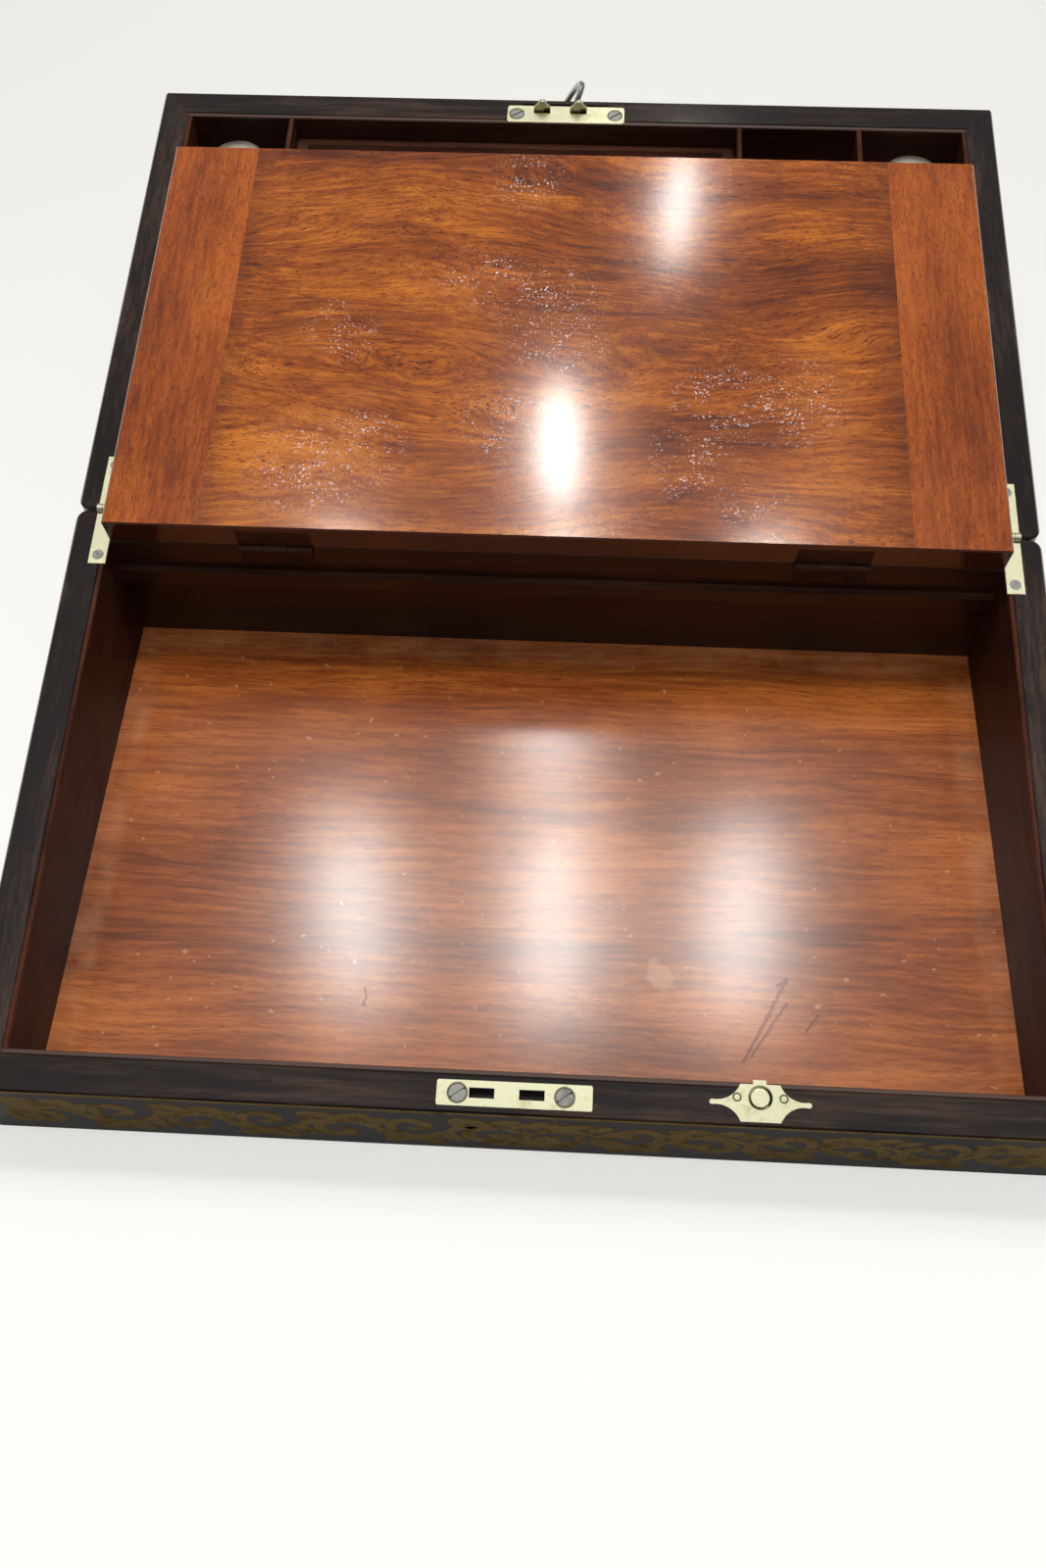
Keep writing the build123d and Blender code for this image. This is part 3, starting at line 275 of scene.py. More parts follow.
# %% Scratch group
scratch, given, result = new_group(
    "scratch",
    [
        ("Vector", "Vector", None),
        ("Start", "Vector", None),
        ("End", "Vector", None),
        ("Width", "Float", 0.0006),
    ],
    [("Mask", "Float")],
)
w = Wires(scratch)
place, start = given.outputs["Vector"], given.outputs["Start"]
jitter = w.math("MULTIPLY", w.math("SUBTRACT", w.noise(place, 350.0, 2.0), 0.5), 0.004)
flat = w.vector("MULTIPLY", w.vector("ADD", place, jitter), (1.0, 1.0, 0.0))
reach = w.vector("SUBTRACT", given.outputs["End"], start)
offset = w.vector("SUBTRACT", flat, start)
covered = w.vector("DOT_PRODUCT", offset, reach)
along = w.math("DIVIDE", covered, w.vector("DOT_PRODUCT", reach, reach), clamp=True)
distance = w.vector("LENGTH", w.vector("SUBTRACT", offset, w.vector("SCALE", reach, along)))
w.put(result.inputs["Mask"], w.span(distance, given.outputs["Width"], 0.0))
print("scratch nodes:", len(scratch.nodes))

# %% [markdown]
# A material starts from one small function: it makes the Principled shader, reads the piece's own
# coordinates and turns them when the grain runs front to back. A second lays a colour over what is there
# already, and a third turns a height into the shader's normal.

# %% Material starter
def start_material(name, turn=0.0, shift=(0.0, 0.0, 0.0), **settings):
    """A material with a Principled shader, its wires and its turned coordinates."""
    material = bpy.data.materials.new(name)
    material.use_nodes = True
    tree = material.node_tree
    shader = tree.nodes["Principled BSDF"]
    for label, value in settings.items():
        shader.inputs[label.replace("_", " ")].default_value = value
    wires = Wires(tree)
    coordinates = tree.nodes.new("ShaderNodeTexCoord")
    mapping = tree.nodes.new("ShaderNodeMapping")
    mapping.inputs["Rotation"].default_value = (0.0, 0.0, turn)
    mapping.inputs["Location"].default_value = shift
    tree.links.new(coordinates.outputs["Object"], mapping.inputs["Vector"])
    return material, wires, shader, mapping.outputs[0]


def tint(wires, shader, amount, colour, blend="MIX"):
    """Lay a colour over what already feeds the base colour."""
    under = shader.inputs["Base Color"].links[0].from_socket
    wires.put(shader.inputs["Base Color"], wires.mix(amount, under, colour, blend))


def bump(wires, shader, height, distance):
    """Turn a height into the shader's normal."""
    node = wires.tree.nodes.new("ShaderNodeBump")
    node.inputs["Strength"].default_value = 1.0
    node.inputs["Distance"].default_value = distance
    wires.put(node.inputs["Height"], height)
    wires.put(shader.inputs["Normal"], node.outputs["Normal"])


quarter = math.pi / 2
print("a quarter turn sends the grain front to back:", round(math.degrees(quarter)))

# %% [markdown]
# All the timber on this box is polished, so one function serves it all. The colour goes to the base and
# the polish to a clear coat over it, because varnish mirrors a lamp sharply over a duller wood. Faces
# that are only seen at a flat angle get a lower index, or they would turn grey there.

# %% Polished timber
varnish_relief = 0.00006
grazed_index = 1.2


def polished_wood(name, tones, turn=0.0, shift=(0.0, 0.0, 0.0), swirl=0.03, pores=0.5, gloss=0.12,
                  rubbed=0.1, peel=0.5, blisters=0.0, coat=1.0, index=1.5):
    """A polished timber in three tones, from dark to pale."""
    material, wires, shader, vector = start_material(
        name, turn, shift, Roughness=0.5, Coat_Weight=coat, Specular_IOR_Level=0.15, IOR=index
    )
    dark, middle, pale = tones
    grain = wires.group(
        timber, Vector=vector, Dark=dark, Middle=middle, Pale=pale, Swirl=swirl, Pores=pores
    )
    skin = wires.group(polish, Vector=vector, Gloss=gloss, Rubbed=rubbed, Peel=peel, Blisters=blisters)
    shader.inputs["Coat Roughness"].default_value = gloss
    wires.put(shader.inputs["Base Color"], grain["Color"])
    wires.put(shader.inputs["Roughness"], skin["Roughness"])
    relief = wires.math("ADD", wires.math("MULTIPLY", grain["Height"], 0.2), skin["Height"])
    bump(wires, shader, relief, varnish_relief)
    return material, wires, shader, vector


board_tones = ((0.055, 0.008, 0.001, 1), (0.24, 0.052, 0.003, 1), (0.48, 0.145, 0.01, 1))
cleat_tones = ((0.1, 0.016, 0.002, 1), (0.25, 0.052, 0.004, 1), (0.36, 0.086, 0.008, 1))
tray_tones = ((0.09, 0.02, 0.005, 1), (0.25, 0.061, 0.012, 1), (0.41, 0.122, 0.022, 1))
lining_tones = ((0.014, 0.005, 0.003, 1), (0.034, 0.012, 0.007, 1), (0.06, 0.022, 0.012, 1))
side_tones = ((0.02, 0.007, 0.004, 1), (0.05, 0.017, 0.01, 1), (0.085, 0.03, 0.017, 1))
ebony_tones = ((0.004, 0.003, 0.003, 1), (0.011, 0.006, 0.005, 1), (0.055, 0.03, 0.02, 1))
inner_wood = polished_wood(
    "inner mahogany", tray_tones, shift=(0.0, 0.4, 0.2), swirl=0.02, gloss=0.3, coat=0.4
)[0]
print("plain timber:", inner_wood.name)

# %% [markdown]
# The linings are dark red-brown boards with little polish. Their top edges, which form the ledge inside
# the rim, carry a painted highlight: they are painted paler, as if the light caught them. Those faces
# could be picked out for a material of their own, but the piece's own normal tells the top from the sides
# without that.

# %% Lining boards
# Colour of the painted highlight on the lining tops.
lit_top_pale = (0.08, 0.052, 0.042, 1)
inside_wood = polished_wood("inside along", lining_tones, swirl=0.01, gloss=0.3, coat=0.4)[0]
lining_wood, w, shader, vector = polished_wood(
    "lining along", lining_tones, swirl=0.01, gloss=0.3, coat=0.4
)
# Upward faces get the painted highlight: a paler colour chosen by the normal.
tint(w, shader, w.span(w.facing(), 0.3, 0.9, 0.0, 0.7), lit_top_pale)
lining_side_wood = polished_wood(
    "lining across", side_tones, turn=quarter, swirl=0.01, gloss=0.35, coat=0.04, index=grazed_index
)[0]
print("lining boards:", inside_wood.name, "and", lining_wood.name, "and", lining_side_wood.name)

# %% [markdown]
# The case is ebonised: almost black, with a brown streak here and there. The near face has lost its
# polish, so only its rim on top keeps the clear coat. The near face is also painted darker than its top,
# as painted shade.

# %% Ebonised case
# Near-black for the painted shade on the lid's near face.
shaded_black = (0.01, 0.006, 0.004, 1)
ebony_wood = polished_wood("ebony along", ebony_tones, swirl=0.008, rubbed=0.2, coat=0.6)[0]
ebony_side_wood = polished_wood(
    "ebony across", ebony_tones, turn=quarter, swirl=0.008, rubbed=0.2, coat=0.6
)[0]
near_wood, w, shader, vector = polished_wood(
    "near ebony", ebony_tones, swirl=0.008, rubbed=0.2, index=grazed_index
)
upward = w.facing()
w.put(shader.inputs["Coat Weight"], w.span(upward, 0.2, 0.7, 0.02, 0.6))
# Faces other than the top get painted shade: a darker colour chosen by the normal.
tint(w, shader, w.span(upward, 0.2, 0.7, 1.0, 0.0), shaded_black)
print("case:", ebony_wood.name, "and", ebony_side_wood.name, "and", near_wood.name)

# %% [markdown]
# The boards of the flaps show their polish only on the broad faces. Their edges are painted dark red as
# painted shade, since they are turned from the light, and the normal tells an edge from a face, so that
# shade stays put when a flap swings. Clusters of pale specks are painted glints of the lamps in the
# polish, and the board is darker towards its ends, where the cleats begin.

# %% Flap boards
# Dark red painted shade for the edges of the flap boards.
shaded_edge_red = (0.05, 0.014, 0.007, 1)
# Pale colour of the painted glints: specks that stand for the lamps sparkling in the polish.
glint_pale = (0.72, 0.71, 0.69, 1)


def flap_wood(name, tones, turn, swirl, clusters, ends):
    """Board timber with edges in painted shade, dark ends and clusters of painted glints."""
    material, wires, shader, vector = polished_wood(
        name, tones, turn=turn, swirl=swirl, pores=0.9, gloss=0.12, peel=1.5, blisters=1.6
    )
    place = wires.first("ShaderNodeTexCoord").outputs["Object"]
    shade_start, shade_end = ends
    sideways = wires.math("ABSOLUTE", wires.split(place)["X"])
    tint(wires, shader, wires.span(sideways, shade_start, shade_end, 0.0, 0.45), tones[0])
    glint_area = None
    for x, y, reach in clusters:
        near = wires.span(wires.away(place, x, y), reach, reach * 0.2)
        glint_area = near if glint_area is None else wires.math("MAXIMUM", glint_area, near)
    if glint_area is not None:
        cloudy = wires.span(wires.noise(place, 90.0, 3.0, 0.7), 0.38, 0.62)
        dots = wires.span(wires.noise(place, 950.0, 1.0, 0.4), 0.6, 0.68)
        glint_specks = wires.math("MULTIPLY", wires.math("MULTIPLY", dots, cloudy), glint_area)
        # Painted glints: pale specks laid into the colour.
        tint(wires, shader, wires.math("MULTIPLY", glint_specks, 0.7), glint_pale)
    broad = wires.math("ABSOLUTE", wires.facing())
    # The edges get painted shade: a dark red chosen by the normal.
    tint(wires, shader, wires.span(broad, 0.6, 0.9, 1.0, 0.0), shaded_edge_red)
    return material


# Places and reaches of the clusters of painted glints on the board.
glint_places = (
    (-0.106, -0.114, 0.036), (-0.087, -0.103, 0.03), (-0.007, -0.02, 0.034), (-0.003, -0.042, 0.03),
    (-0.038, -0.005, 0.026), (-0.1, -0.038, 0.022), (0.072, -0.073, 0.03), (0.103, -0.072, 0.032),
    (0.06, -0.105, 0.028), (0.088, -0.132, 0.024), (-0.02, 0.055, 0.024), (-0.02, -0.09, 0.03),
)
board_wood = flap_wood("board mahogany", board_tones, 0.0, 0.075, glint_places, (0.138, 0.157))
cleat_wood = flap_wood("cleat mahogany", cleat_tones, quarter, 0.01, (), (0.5, 0.6))
# The clusters counted here are the painted glints.
print("bloomed clusters:", len(glint_places))

# %% [markdown]
# The floor of the lid is worn: it has a forked scratch, small pale dings, a dried drop and a paler margin
# where cloth or paper once lay. Each mark is a mask from noise or from a distance, because masks can be
# laid over the shared timber and leave its grain in sight.

# %% Worn floor of the lid
tray_wood, w, shader, vector = polished_wood(
    "tray mahogany", tray_tones, swirl=0.02, gloss=0.18, rubbed=0.12, peel=0.8
)
fork, elbow, spur = (0.103, -0.309, 0.0), (0.1, -0.315, 0.0), (0.099, -0.312, 0.0)
scratches = (
    (fork, spur, 0.001), (fork, elbow, 0.0011), (elbow, (0.085, -0.344, 0.0), 0.0009),
    ((0.103, -0.319, 0.0), (0.088, -0.342, 0.0), 0.0008),
    ((0.115, -0.324, 0.0), (0.11, -0.331, 0.0), 0.0006),
    ((-0.069, -0.32, 0.0), (-0.068, -0.328, 0.0), 0.0006),
)
marks = None
for start, end, width in scratches:
    mark = w.group(scratch, Vector=vector, Start=start, End=end, Width=width)["Mask"]
    marks = mark if marks is None else w.math("MAXIMUM", marks, mark)
dings = w.span(w.noise(vector, 330.0, 0.0), 0.83, 0.86, 0.0, 0.5)
place = w.split(vector)
side = w.span(w.math("ABSOLUTE", place["X"]), 0.179, 0.1855)
back = w.span(place["Y"], -0.159, -0.152)
dusty = w.span(w.noise(vector, 60.0, 4.0, 0.65), 0.3, 0.7, 0.02, 0.2)
worn = w.math("MAXIMUM", dings, w.math("MULTIPLY", w.math("MAXIMUM", side, back), dusty))
drop_away = w.away(vector, 0.051, -0.309, squeeze=0.7)
ragged = w.math("ADD", drop_away, w.math("MULTIPLY", w.noise(vector, 160.0, 3.0), 0.012))
worn = w.math("MAXIMUM", worn, w.span(ragged, 0.0125, 0.0105, 0.0, 0.35))
print("scratches:", len(scratches))

# %% [markdown]
# The same board is the top of the closed box. Its outer side is veneered in the dark wood of the walls
# and has none of the marks. Two boards back to back could show that, but the normal parts the two sides
# of one board just as well. The scratches also go into the height, so that they catch the light.

# %% Marks inside, veneer outside
worn_pale = (0.45, 0.25, 0.15, 1)
scratch_dark = (0.11, 0.02, 0.01, 1)
veneer_dark = (0.09, 0.16, 0.5, 1)
scratch_depth = 6.0
inner = w.span(w.facing(), -0.6, -0.2)
outer = w.math("SUBTRACT", 1.0, inner)
marks = w.math("MULTIPLY", marks, inner)
tint(w, shader, w.math("MULTIPLY", worn, inner), worn_pale)
tint(w, shader, w.math("MULTIPLY", marks, 0.85), scratch_dark)
tint(w, shader, outer, veneer_dark, blend="MULTIPLY")
relief = w.first("ShaderNodeBump").inputs["Height"]
w.put(relief, w.math("SUBTRACT", relief.links[0].from_socket, w.math("MULTIPLY", marks, scratch_depth)))
print("tray nodes:", len(w.tree.nodes))

# %% [markdown]
# The fittings are brass and steel. Both come from the patina group, with steel made cooler and duller,
# so one function is enough for all of them. It can also lay rings of grime over the metal.

# %% Metals
metal_relief = 0.00002
grime_dark = (0.05, 0.04, 0.02, 1)


def metal(name, clean, tarnish, amount, gloss, rings=(), metallic=1.0, **settings):
    """A metal with clean and tarnished parts, and dark grime in rings round what is let into it."""
    material, wires, shader, vector = start_material(name, Metallic=metallic, **settings)
    skin = wires.group(patina, Vector=vector, Clean=clean, Tarnish=tarnish, Amount=amount, Gloss=gloss)
    wires.put(shader.inputs["Base Color"], skin["Color"])
    for x, y, radius in rings:
        away = wires.math("ABSOLUTE", wires.math("SUBTRACT", wires.away(vector, x, y), radius))
        tint(wires, shader, wires.span(away, radius * 0.34, radius * 0.12, 0.0, 0.9), grime_dark)
    wires.put(shader.inputs["Roughness"], skin["Roughness"])
    bump(wires, shader, skin["Height"], metal_relief)
    return material


def plate_brass(name, rings=()):
    """The pale, spotted brass of the hinges, the lock and the catch."""
    return metal(name, (0.92, 0.9, 0.62, 1), (0.4, 0.37, 0.16, 1), 0.6, 0.28, rings=rings)


brass = plate_brass("brass")
dark_brass = metal("dark bronze", (0.05, 0.02, 0.012, 1), (0.03, 0.014, 0.01, 1), 0.7, 0.5, metallic=0.4)
cap_brass = metal("cap brass", (0.95, 0.88, 0.72, 1), (0.6, 0.5, 0.36, 1), 0.5, 0.34)
steel = metal("steel", (0.42, 0.42, 0.4, 1), (0.16, 0.14, 0.12, 1), 0.5, 0.3)
screw_steel = metal("screw steel", (0.36, 0.36, 0.34, 1), (0.1, 0.09, 0.07, 1), 0.75, 0.3)
# The inlay's brass is painted a dark brown as painted shade, since the near face it lies in is turned
# from the light.
shaded_inlay_brass = metal(
    "inlay brass", (0.13, 0.08, 0.02, 1), (0.05, 0.03, 0.009, 1), 0.8, 0.5,
    metallic=0.2, Specular_IOR_Level=0.1, IOR=grazed_index,
)
made = (brass, dark_brass, cap_brass, steel, screw_steel, shaded_inlay_brass)
print("metals:", ", ".join(finish.name for finish in made))

# %% [markdown]
# Where a screw, a pin or the catch's button is let into a plate, old polish leaves a ring of dark grime.
# The rings could be typed in as numbers, but here they are read from the pieces, and so they stay true
# when a fitting moves.

# %% Plates with grime round what is let in
def round_places(node, count=2):
    """Centres and radius of round heads that lie in a row along one node."""
    low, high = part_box(node)
    radius = (high.y - low.y) / 2
    middle = (high.y + low.y) / 2
    if count == 1:
        return [((low.x + high.x) / 2, middle, radius)]
    return [(low.x + radius, middle, radius), (high.x - radius, middle, radius)]


strike_brass = plate_brass("strike brass", round_places("strike_screws"))
lock_brass = plate_brass("lock brass", round_places("lock_screws"))
catch_brass = plate_brass("catch brass", round_places("catch_button", 1) + round_places("catch_pins"))
print("strike screw radius in mm:", round(round_places("strike_screws")[0][2] * 1000, 2))

# %% [markdown]
# The writing surfaces are thin green hide, worn paler where hands rested. The grain of hide is finer than
# any mesh, so it is noise in the height. The inkwells are clear glass with a slight wave in it.

# %% Leather and glass
hide_green, hide_worn = (0.02, 0.05, 0.025, 1), (0.07, 0.1, 0.05, 1)
leather, w, shader, vector = start_material("green leather", Roughness=0.55)
hide = w.noise(vector, 650.0, 4.0, 0.6)
rested = w.span(w.noise(vector, 22.0, 4.0), 0.45, 0.75)
w.put(shader.inputs["Base Color"], w.mix(w.math("MULTIPLY", rested, 0.5), hide_green, hide_worn))
bump(w, shader, hide, 0.0002)
glass, w, shader, vector = start_material("clear glass", Roughness=0.03, IOR=1.5, Transmission_Weight=1.0)
shader.inputs["Base Color"].default_value = (0.93, 0.97, 0.95, 1)
bump(w, shader, w.noise(vector, 60.0, 2.0), 0.0002)
print("soft and clear:", leather.name, "and", glass.name)

# %% [markdown]
# Each piece of the frame gets its finish by name, in one table that is easy to check against the box.
# Boards that run front to back get the turned grain.

# %% Dress the frame's pieces
finishes = {
    ebony_wood: ["base_far_wall", "base_hinge_wall", "lid_hinge_wall"],
    near_wood: ["lid_near_wall"],
    ebony_side_wood: ["base_left_wall", "base_right_wall", "lid_left_wall", "lid_right_wall"],
    lining_wood: ["base_far_lining", "base_hinge_lining", "lid_near_lining", "lid_hinge_lining"],
    inside_wood: [
        "far_flap_bearers", "near_flap_bearers", "long_partition", "pen_tray", "pen_tray_bearers",
        "pen_deck",
    ],
    lining_side_wood: [
        "base_side_linings", "lid_side_linings", "left_well_divider", "tray_divider",
        "right_well_divider",
    ],
    board_wood: ["near_flap_panel", "far_flap_panel"],
    cleat_wood: ["near_flap_cleats", "far_flap_cleats"],
    tray_wood: ["lid_panel"],
    inner_wood: ["base_bottom"],
    brass: [
        "lock_bolts", "escutcheon", "base_hinge_leaves", "lid_hinge_leaves", "box_hinge_pins",
        "catch_button", "catch_latch",
    ],
    strike_brass: ["strike_plate"],
    lock_brass: ["lock_plate"],
    catch_brass: ["catch_plate", "catch_pins"],
    screw_steel: ["strike_screws", "lock_screws", "base_hinge_screws", "lid_hinge_screws"],
    cap_brass: ["left_inkwell_collar", "right_inkwell_collar", "left_inkwell_cap", "right_inkwell_cap"],
    shaded_inlay_brass: ["lid_edging", "lock_case"],
    dark_brass: ["flap_butt_lid_leaves", "flap_butt_flap_leaves", "flap_hinge_pins"],
    steel: ["catch_spring", "key"],
    leather: ["far_flap_leather", "near_flap_leather"],
    glass: ["left_inkwell_glass", "right_inkwell_glass"],
}
dressed = 0
for finish, names in finishes.items():
    for name in names:
        mesh = nodes[name].data
        mesh.materials.clear()
        mesh.materials.append(finish)
        dressed += 1
print("dressed", dressed, "of", len(nodes))

# %% [markdown]
# The near face of the lid carries a brass inlay of running foliage in a dark ground. Every stroke of it
# is a ribbon: a centre line with a width that swells and dies away. Leaves, curls and the wavy stem are
# all the same ribbon with other numbers. A curve object with a taper could draw it too, but a mesh ribbon
# can be held within the face at each point. It starts as one short edge, which is extruded from point to
# point along the stroke. Ribbons that cross lie a hair apart in depth, so that none flickers.

# %% A ribbon of brass
near_low, near_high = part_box("lid_near_wall")
face_y = near_low.y
margin_below, margin_above = 0.0035, 0.0065
face_low, face_high = near_low.z + margin_below, near_high.z - margin_above
face_middle = (face_low + face_high) / 2
face_reach = (face_high - face_low) / 2
proud, let_in = 0.00004, 0.0004
layer_step, layers = 0.000002, 17
inlay = bmesh.new()


def ribbon(points, widest, thin_start=0.15, thin_end=0.05):
    """A flat ribbon on the near face, widest in its middle."""
    last = len(points) - 1
    layer = face_y - proud - layer_step * (len(inlay.verts) % layers)
    edge = None
    for index, (x, z) in enumerate(points):
        before, after = points[max(index - 1, 0)], points[min(index + 1, last)]
        run = Vector((after[0] - before[0], after[1] - before[1])).normalized()
        part = index / last
        ends = thin_start * (1.0 - part) + thin_end * part
        half = widest / 2 * (ends + (1.0 - ends) * math.sin(math.pi * part) ** 0.8)
        if edge is None:
            edge = inlay.edges.new((inlay.verts.new(), inlay.verts.new()))
        else:
            grown = bmesh.ops.extrude_edge_only(inlay, edges=[edge])["geom"]
            edge = next(new for new in grown if isinstance(new, bmesh.types.BMEdge))
        for corner, side in zip(edge.verts, (1.0, -1.0)):
            corner_z = min(max(z + side * run.x * half, face_low), face_high)
            corner.co = (x - side * run.y * half, layer, corner_z)


print("face of the inlay in mm:", round((face_high - face_low) * 1000, 1))

# %% [markdown]
# The strokes follow two kinds of line: an arc that bends as it goes, for leaves and tendrils, and a curl
# that winds in to a small eye, for the scrolls that fill the bays of the stem.

# %% Lines for the strokes
def arc(x, z, angle, length, bend, steps=8):
    """Points of a stroke that leaves at an angle and bends as it goes."""
    points = [(x, z)]
    for step in range(steps):
        heading = angle + bend * (step + 0.5) / steps
        x += length / steps * math.cos(heading)
        z += length / steps * math.sin(heading)
        points.append((x, z))
    return points


def curl(x, z, size, start, turn, steps=18):
    """Points of a scroll that winds in from its size to a small eye."""
    points = []
    for step in range(steps):
        part = step / (steps - 1)
        radius = size * (1.0 - 0.8 * part)
        angle = start + turn * part
        points.append((x + radius * math.cos(angle), z + radius * math.sin(angle)))
    return points


print("points of an arc:", len(arc(0.0, 0.0, 0.0, 1.0, 1.0)))
print("points of a curl:", len(curl(0.0, 0.0, 1.0, 0.0, 1.0)))

# %% [markdown]
# The wavy stem runs from the middle to both ends. In each bay of it stands a curl, with a pair of leaves
# and a pair of buds on its crest and tendrils where the stem crosses the middle line. A fan of leaves
# closes each end, and a larger one stands in the middle.

# %% Foliage along the face
end_margin = 0.012
half_face = cad_high[0] - end_margin
periods = 3.5
wave = half_face / periods
swing = face_reach * 0.42
stem_steps, stem_piece, stem_lap = 90, 10, 2
stem_width, curl_width, fan_width = 0.0034, 0.0058, 0.0046
leaf_length, leaf_width = 0.015, 0.0075
bud_length, bud_width, bud_shift = 0.012, 0.0062, (-0.009, 0.010)
tendril_width = 0.0066
for way in (-1, 1):
    stem = []
    for step in range(stem_steps + 1):
        x = half_face * step / stem_steps
        stem.append((way * x, face_middle + swing * math.sin(2 * math.pi * x / wave)))
    for start in range(0, stem_steps, stem_piece):
        ribbon(stem[start:start + stem_piece + stem_lap], stem_width, 0.8, 0.8)
    for index in range(int(periods * 2)):
        x = wave * (index / 2 + 0.25)
        if x > half_face - 0.01:
            continue
        up = 1 if index % 2 == 0 else -1
        crest = face_middle + up * swing
        eye_z = face_middle - up * swing * 0.55
        scroll = curl(way * x, eye_z, face_reach * 0.52, way * 0.4 + up * 1.6, -way * up * 6.6)
        ribbon(scroll, curl_width, 0.3, 0.5)
        ribbon(arc(way * x, crest, up * 1.1, leaf_length, -up * 1.3), leaf_width)
        ribbon(arc(way * x, crest, math.pi - up * 1.1, leaf_length, up * 1.3), leaf_width)
        for shift, lean in zip(bud_shift, (1, -1)):
            angle = quarter * up + lean * way * 0.5
            bud = arc(way * (x + shift), face_middle + up * swing * 0.8, angle, bud_length, lean * 0.9)
            ribbon(bud, bud_width)
        crossing = way * (x + wave / 4)
        ribbon(arc(crossing, face_middle, -up * 1.9, 0.015, up * 1.5), tendril_width)
        ribbon(arc(crossing, face_middle, up * 1.2, 0.014, -up * 1.6), tendril_width)
    for leaf in range(-2, 3):
        angle = quarter + way * (quarter - 0.55 * leaf)
        length = 0.019 if leaf % 2 == 0 else 0.015
        ribbon(arc(way * half_face, face_middle, angle, length, 0.3 * leaf * way), fan_width)
for leaf in range(-3, 4):
    length = 0.022 if leaf == 0 else 0.018
    ribbon(arc(0.0, face_low + 0.004, quarter + 0.42 * leaf, length, 0.25 * leaf), fan_width)
print("foliage faces before they are let in:", len(inlay.faces))

# %% [markdown]
# The flat ribbons become metal by one extrude of all their faces into the wood. A Solidify modifier
# would thicken them too, but an extrude goes one way only and leaves the front where it is. The inlay
# then rides on the lid, like the wall that it lies in.

# %% Let the foliage in
inlay.normal_update()
grown = bmesh.ops.extrude_face_region(inlay, geom=inlay.faces[:])["geom"]
backs = [part for part in grown if isinstance(part, bmesh.types.BMVert)]
bmesh.ops.translate(inlay, verts=backs, vec=(0.0, let_in, 0.0))
bmesh.ops.recalc_face_normals(inlay, faces=inlay.faces)
inlay_mesh = bpy.data.meshes.new("foliage_inlay")
inlay.to_mesh(inlay_mesh)
inlay.free()
inlay_piece = bpy.data.objects.new("foliage_inlay", inlay_mesh)
scene.collection.objects.link(inlay_piece)
inlay_mesh.materials.append(shaded_inlay_brass)
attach(inlay_piece, "lid")
print("inlay faces", len(inlay_mesh.polygons))

# %% [markdown]
# The box stands on a pale floor. It stays near white for the camera and still takes the soft shadow,
# because part of its brightness is its own. Far away it fades into the tone of the surround, so that no
# edge or horizon shows from the side.

# %% Floor
room_pale = (0.93, 0.925, 0.91, 1)
floor_size = 12.0
bpy.ops.mesh.primitive_plane_add(size=floor_size)
floor = bpy.context.object
floor.name = "studio_floor"
floor.data.name = "studio_floor"
paper, w, shader, vector = start_material("studio paper", Roughness=0.9)
shader.inputs["Base Color"].default_value = (0.82, 0.815, 0.79, 1)
glow = w.tree.nodes.new("ShaderNodeEmission")
nearness = w.span(w.split(vector)["Y"], 0.35, -0.5)
faraway = w.span(w.vector("LENGTH", vector), 0.9, 3.5)
glowing = w.mix(nearness, (0.72, 0.715, 0.69, 1), (1.02, 1.02, 1.0, 1))
w.put(glow.inputs["Color"], w.mix(faraway, glowing, room_pale))
path = w.tree.nodes.new("ShaderNodeLightPath")
own_light = w.math("MULTIPLY", path.outputs["Is Camera Ray"], w.span(faraway, 0.0, 1.0, 0.6, 1.0))
blend = w.tree.nodes.new("ShaderNodeMixShader")
w.put(blend.inputs[0], own_light)
w.put(blend.inputs[1], shader.outputs[0])
w.put(blend.inputs[2], glow.outputs[0])
w.put(w.tree.nodes["Material Output"].inputs["Surface"], blend.outputs[0])
floor.data.materials.append(paper)
print("floor:", floor.name)

# %% [markdown]
# The key light comes from nearly straight above and a little behind, as the short shadow of the folded
# flap on the lid's floor shows, and a broad fill over the near side opens up that shadow. Neither shows
# in the varnish. Small ceiling lamps give the bright patches there instead. A lamp's mirror image lies
# where the eye's ray bounces, so the places of these lamps follow from the camera. The left and the right
# one are also turned, until their long sides run nearly front to back.

# %% Lamps
lamp_height = 1.5
lamp_aim = Vector((0.0, -0.15, 0.05))
lamp_colour = (1.0, 0.98, 0.945)


def lamp(name, place, width, power, length=None, shape="RECTANGLE", turn=0.0, mirrored=True):
    """An area lamp that looks at the box."""
    data = bpy.data.lights.new(name, "AREA")
    data.energy = power
    data.color = lamp_colour
    data.shape = shape
    data.size = width
    data.size_y = length or width
    holder = bpy.data.objects.new(name, data)
    holder.location = place
    towards = (lamp_aim - Vector(place)).to_track_quat("-Z", "Y")
    holder.rotation_euler = (towards @ Quaternion((0.0, 0.0, 1.0), turn)).to_euler()
    holder.visible_glossy = mirrored
    scene.collection.objects.link(holder)


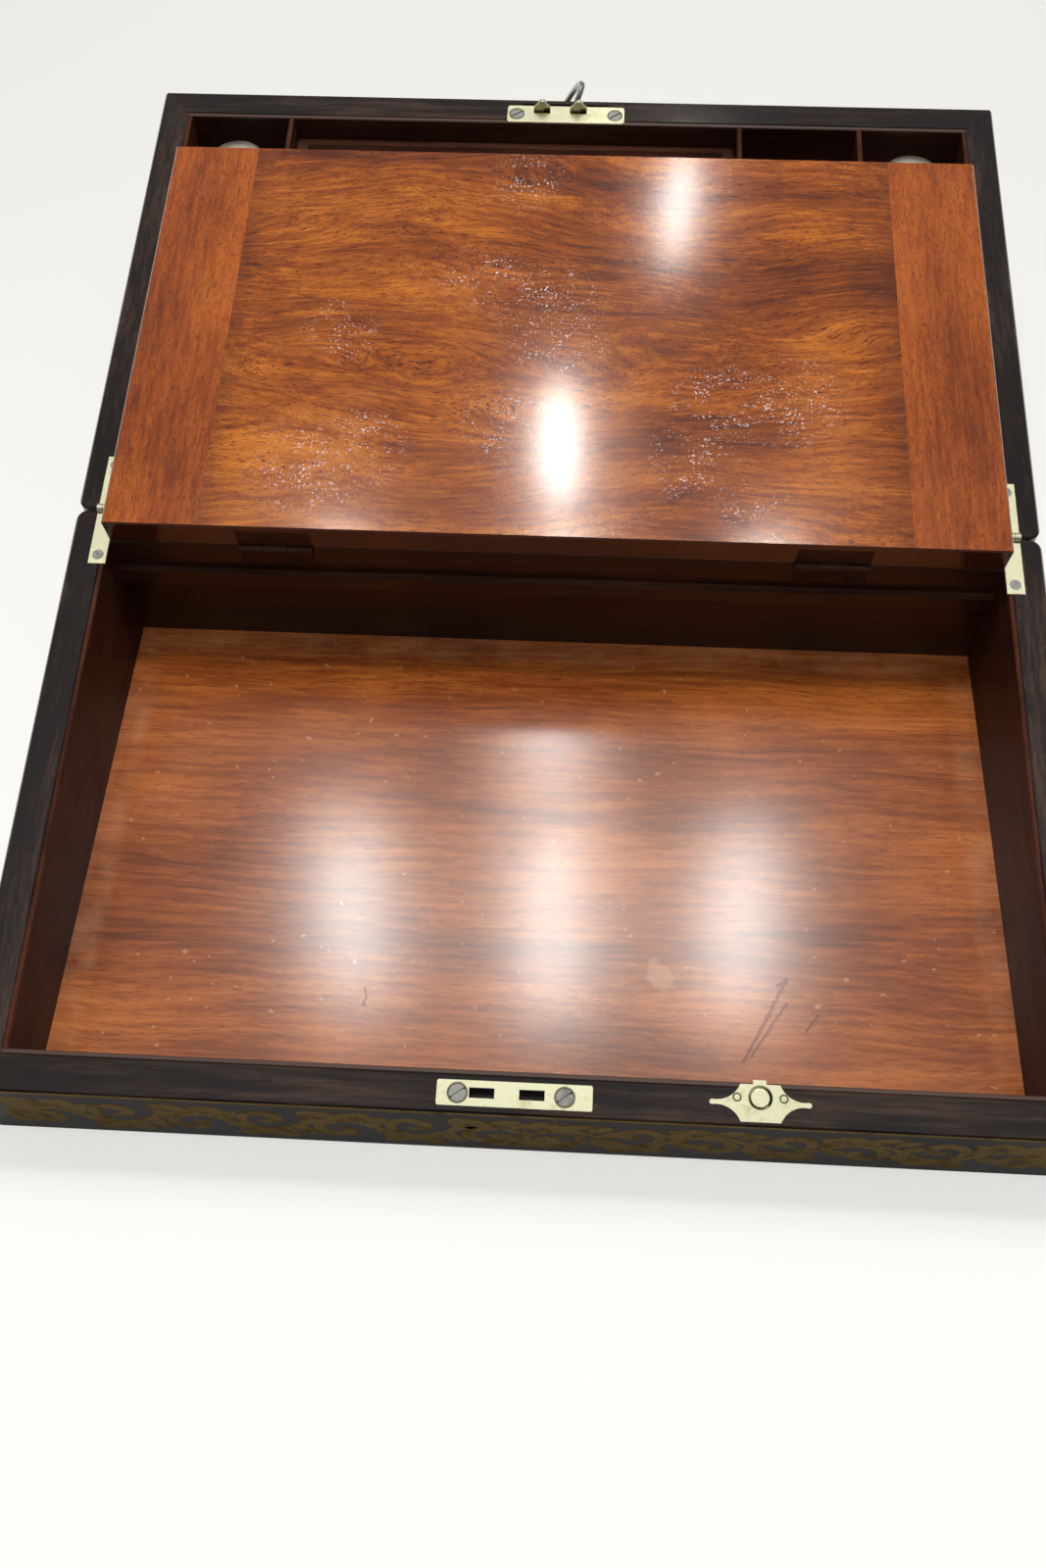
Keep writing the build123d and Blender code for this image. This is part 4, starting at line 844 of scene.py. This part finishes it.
lamp("lamp_key", (0.06, 0.19, 1.6), 0.14, 11.5, mirrored=False)
lamp("lamp_fill", (0.0, -0.5, 1.6), 0.5, 6.0, mirrored=False)
lamp("lamp_left", (-0.334, 0.39, lamp_height), 0.055, 2.7, length=0.28, turn=-0.4)
lamp("lamp_middle", (-0.012, 0.39, lamp_height), 0.05, 3.0, length=0.3)
lamp("lamp_right", (0.283, 0.4, lamp_height), 0.055, 2.7, length=0.28, turn=0.42)
lamp("lamp_board", (-0.03, 0.73, lamp_height), 0.055, 1.3, length=0.19, shape="ELLIPSE")
lamp("lamp_far", (0.149, 1.19, lamp_height), 0.05, 0.7, length=0.18, shape="ELLIPSE")
print("lamps:", len(bpy.data.lights))

# %% [markdown]
# The room is brightest straight above, dimmer behind and dark on the viewer's side. The surround only
# fades with the direction, because any form in it would show in the varnish. What the camera itself sees
# past the floor is plain pale.

# %% Surround
world = bpy.data.worlds.new("surround")
scene.world = world
world.use_nodes = True
w = Wires(world.node_tree)
ways = w.split(w.tree.nodes.new("ShaderNodeTexCoord").outputs["Generated"])
lean = w.math("ADD", ways["Z"], w.math("MULTIPLY", ways["Y"], 0.45))
overhead = w.span(lean, -0.1, 0.9, 0.1, 0.38)
overhead = w.math("ADD", overhead, w.span(ways["Z"], 0.84, 0.96, 0.0, 0.45))
seen = w.tree.nodes.new("ShaderNodeLightPath").outputs["Is Camera Ray"]
background = world.node_tree.nodes["Background"]
background.inputs["Color"].default_value = room_pale
w.put(background.inputs["Strength"], w.math("MAXIMUM", overhead, seen))
print("surround nodes:", len(world.node_tree.nodes))

# %% [markdown]
# The camera stands over the near edge and looks steeply down. Its place and angles were fitted to the
# corners of the box in the photograph, for a frame of 1067 by 1600.

# %% Camera
camera_place = (0.0134, -0.5285, 0.5454)
camera_turn = -0.0735
camera_tilt = 1.048
camera_roll = -0.0248
focal_pixels = 1420.8
frame_width = 1067
sensor = 36.0
data = bpy.data.cameras.new("camera")
data.sensor_fit = "HORIZONTAL"
data.sensor_width = sensor
data.lens = sensor * focal_pixels / frame_width
data.clip_start = 0.01
camera = bpy.data.objects.new("camera", data)
turned = Matrix.Rotation(-camera_turn, 4, "Z") @ Matrix.Rotation(quarter - camera_tilt, 4, "X")
camera.matrix_world = Matrix.Translation(camera_place) @ turned @ Matrix.Rotation(camera_roll, 4, "Z")
scene.collection.objects.link(camera)
scene.camera = camera
print("lens in mm:", round(data.lens, 2))

# %% [markdown]
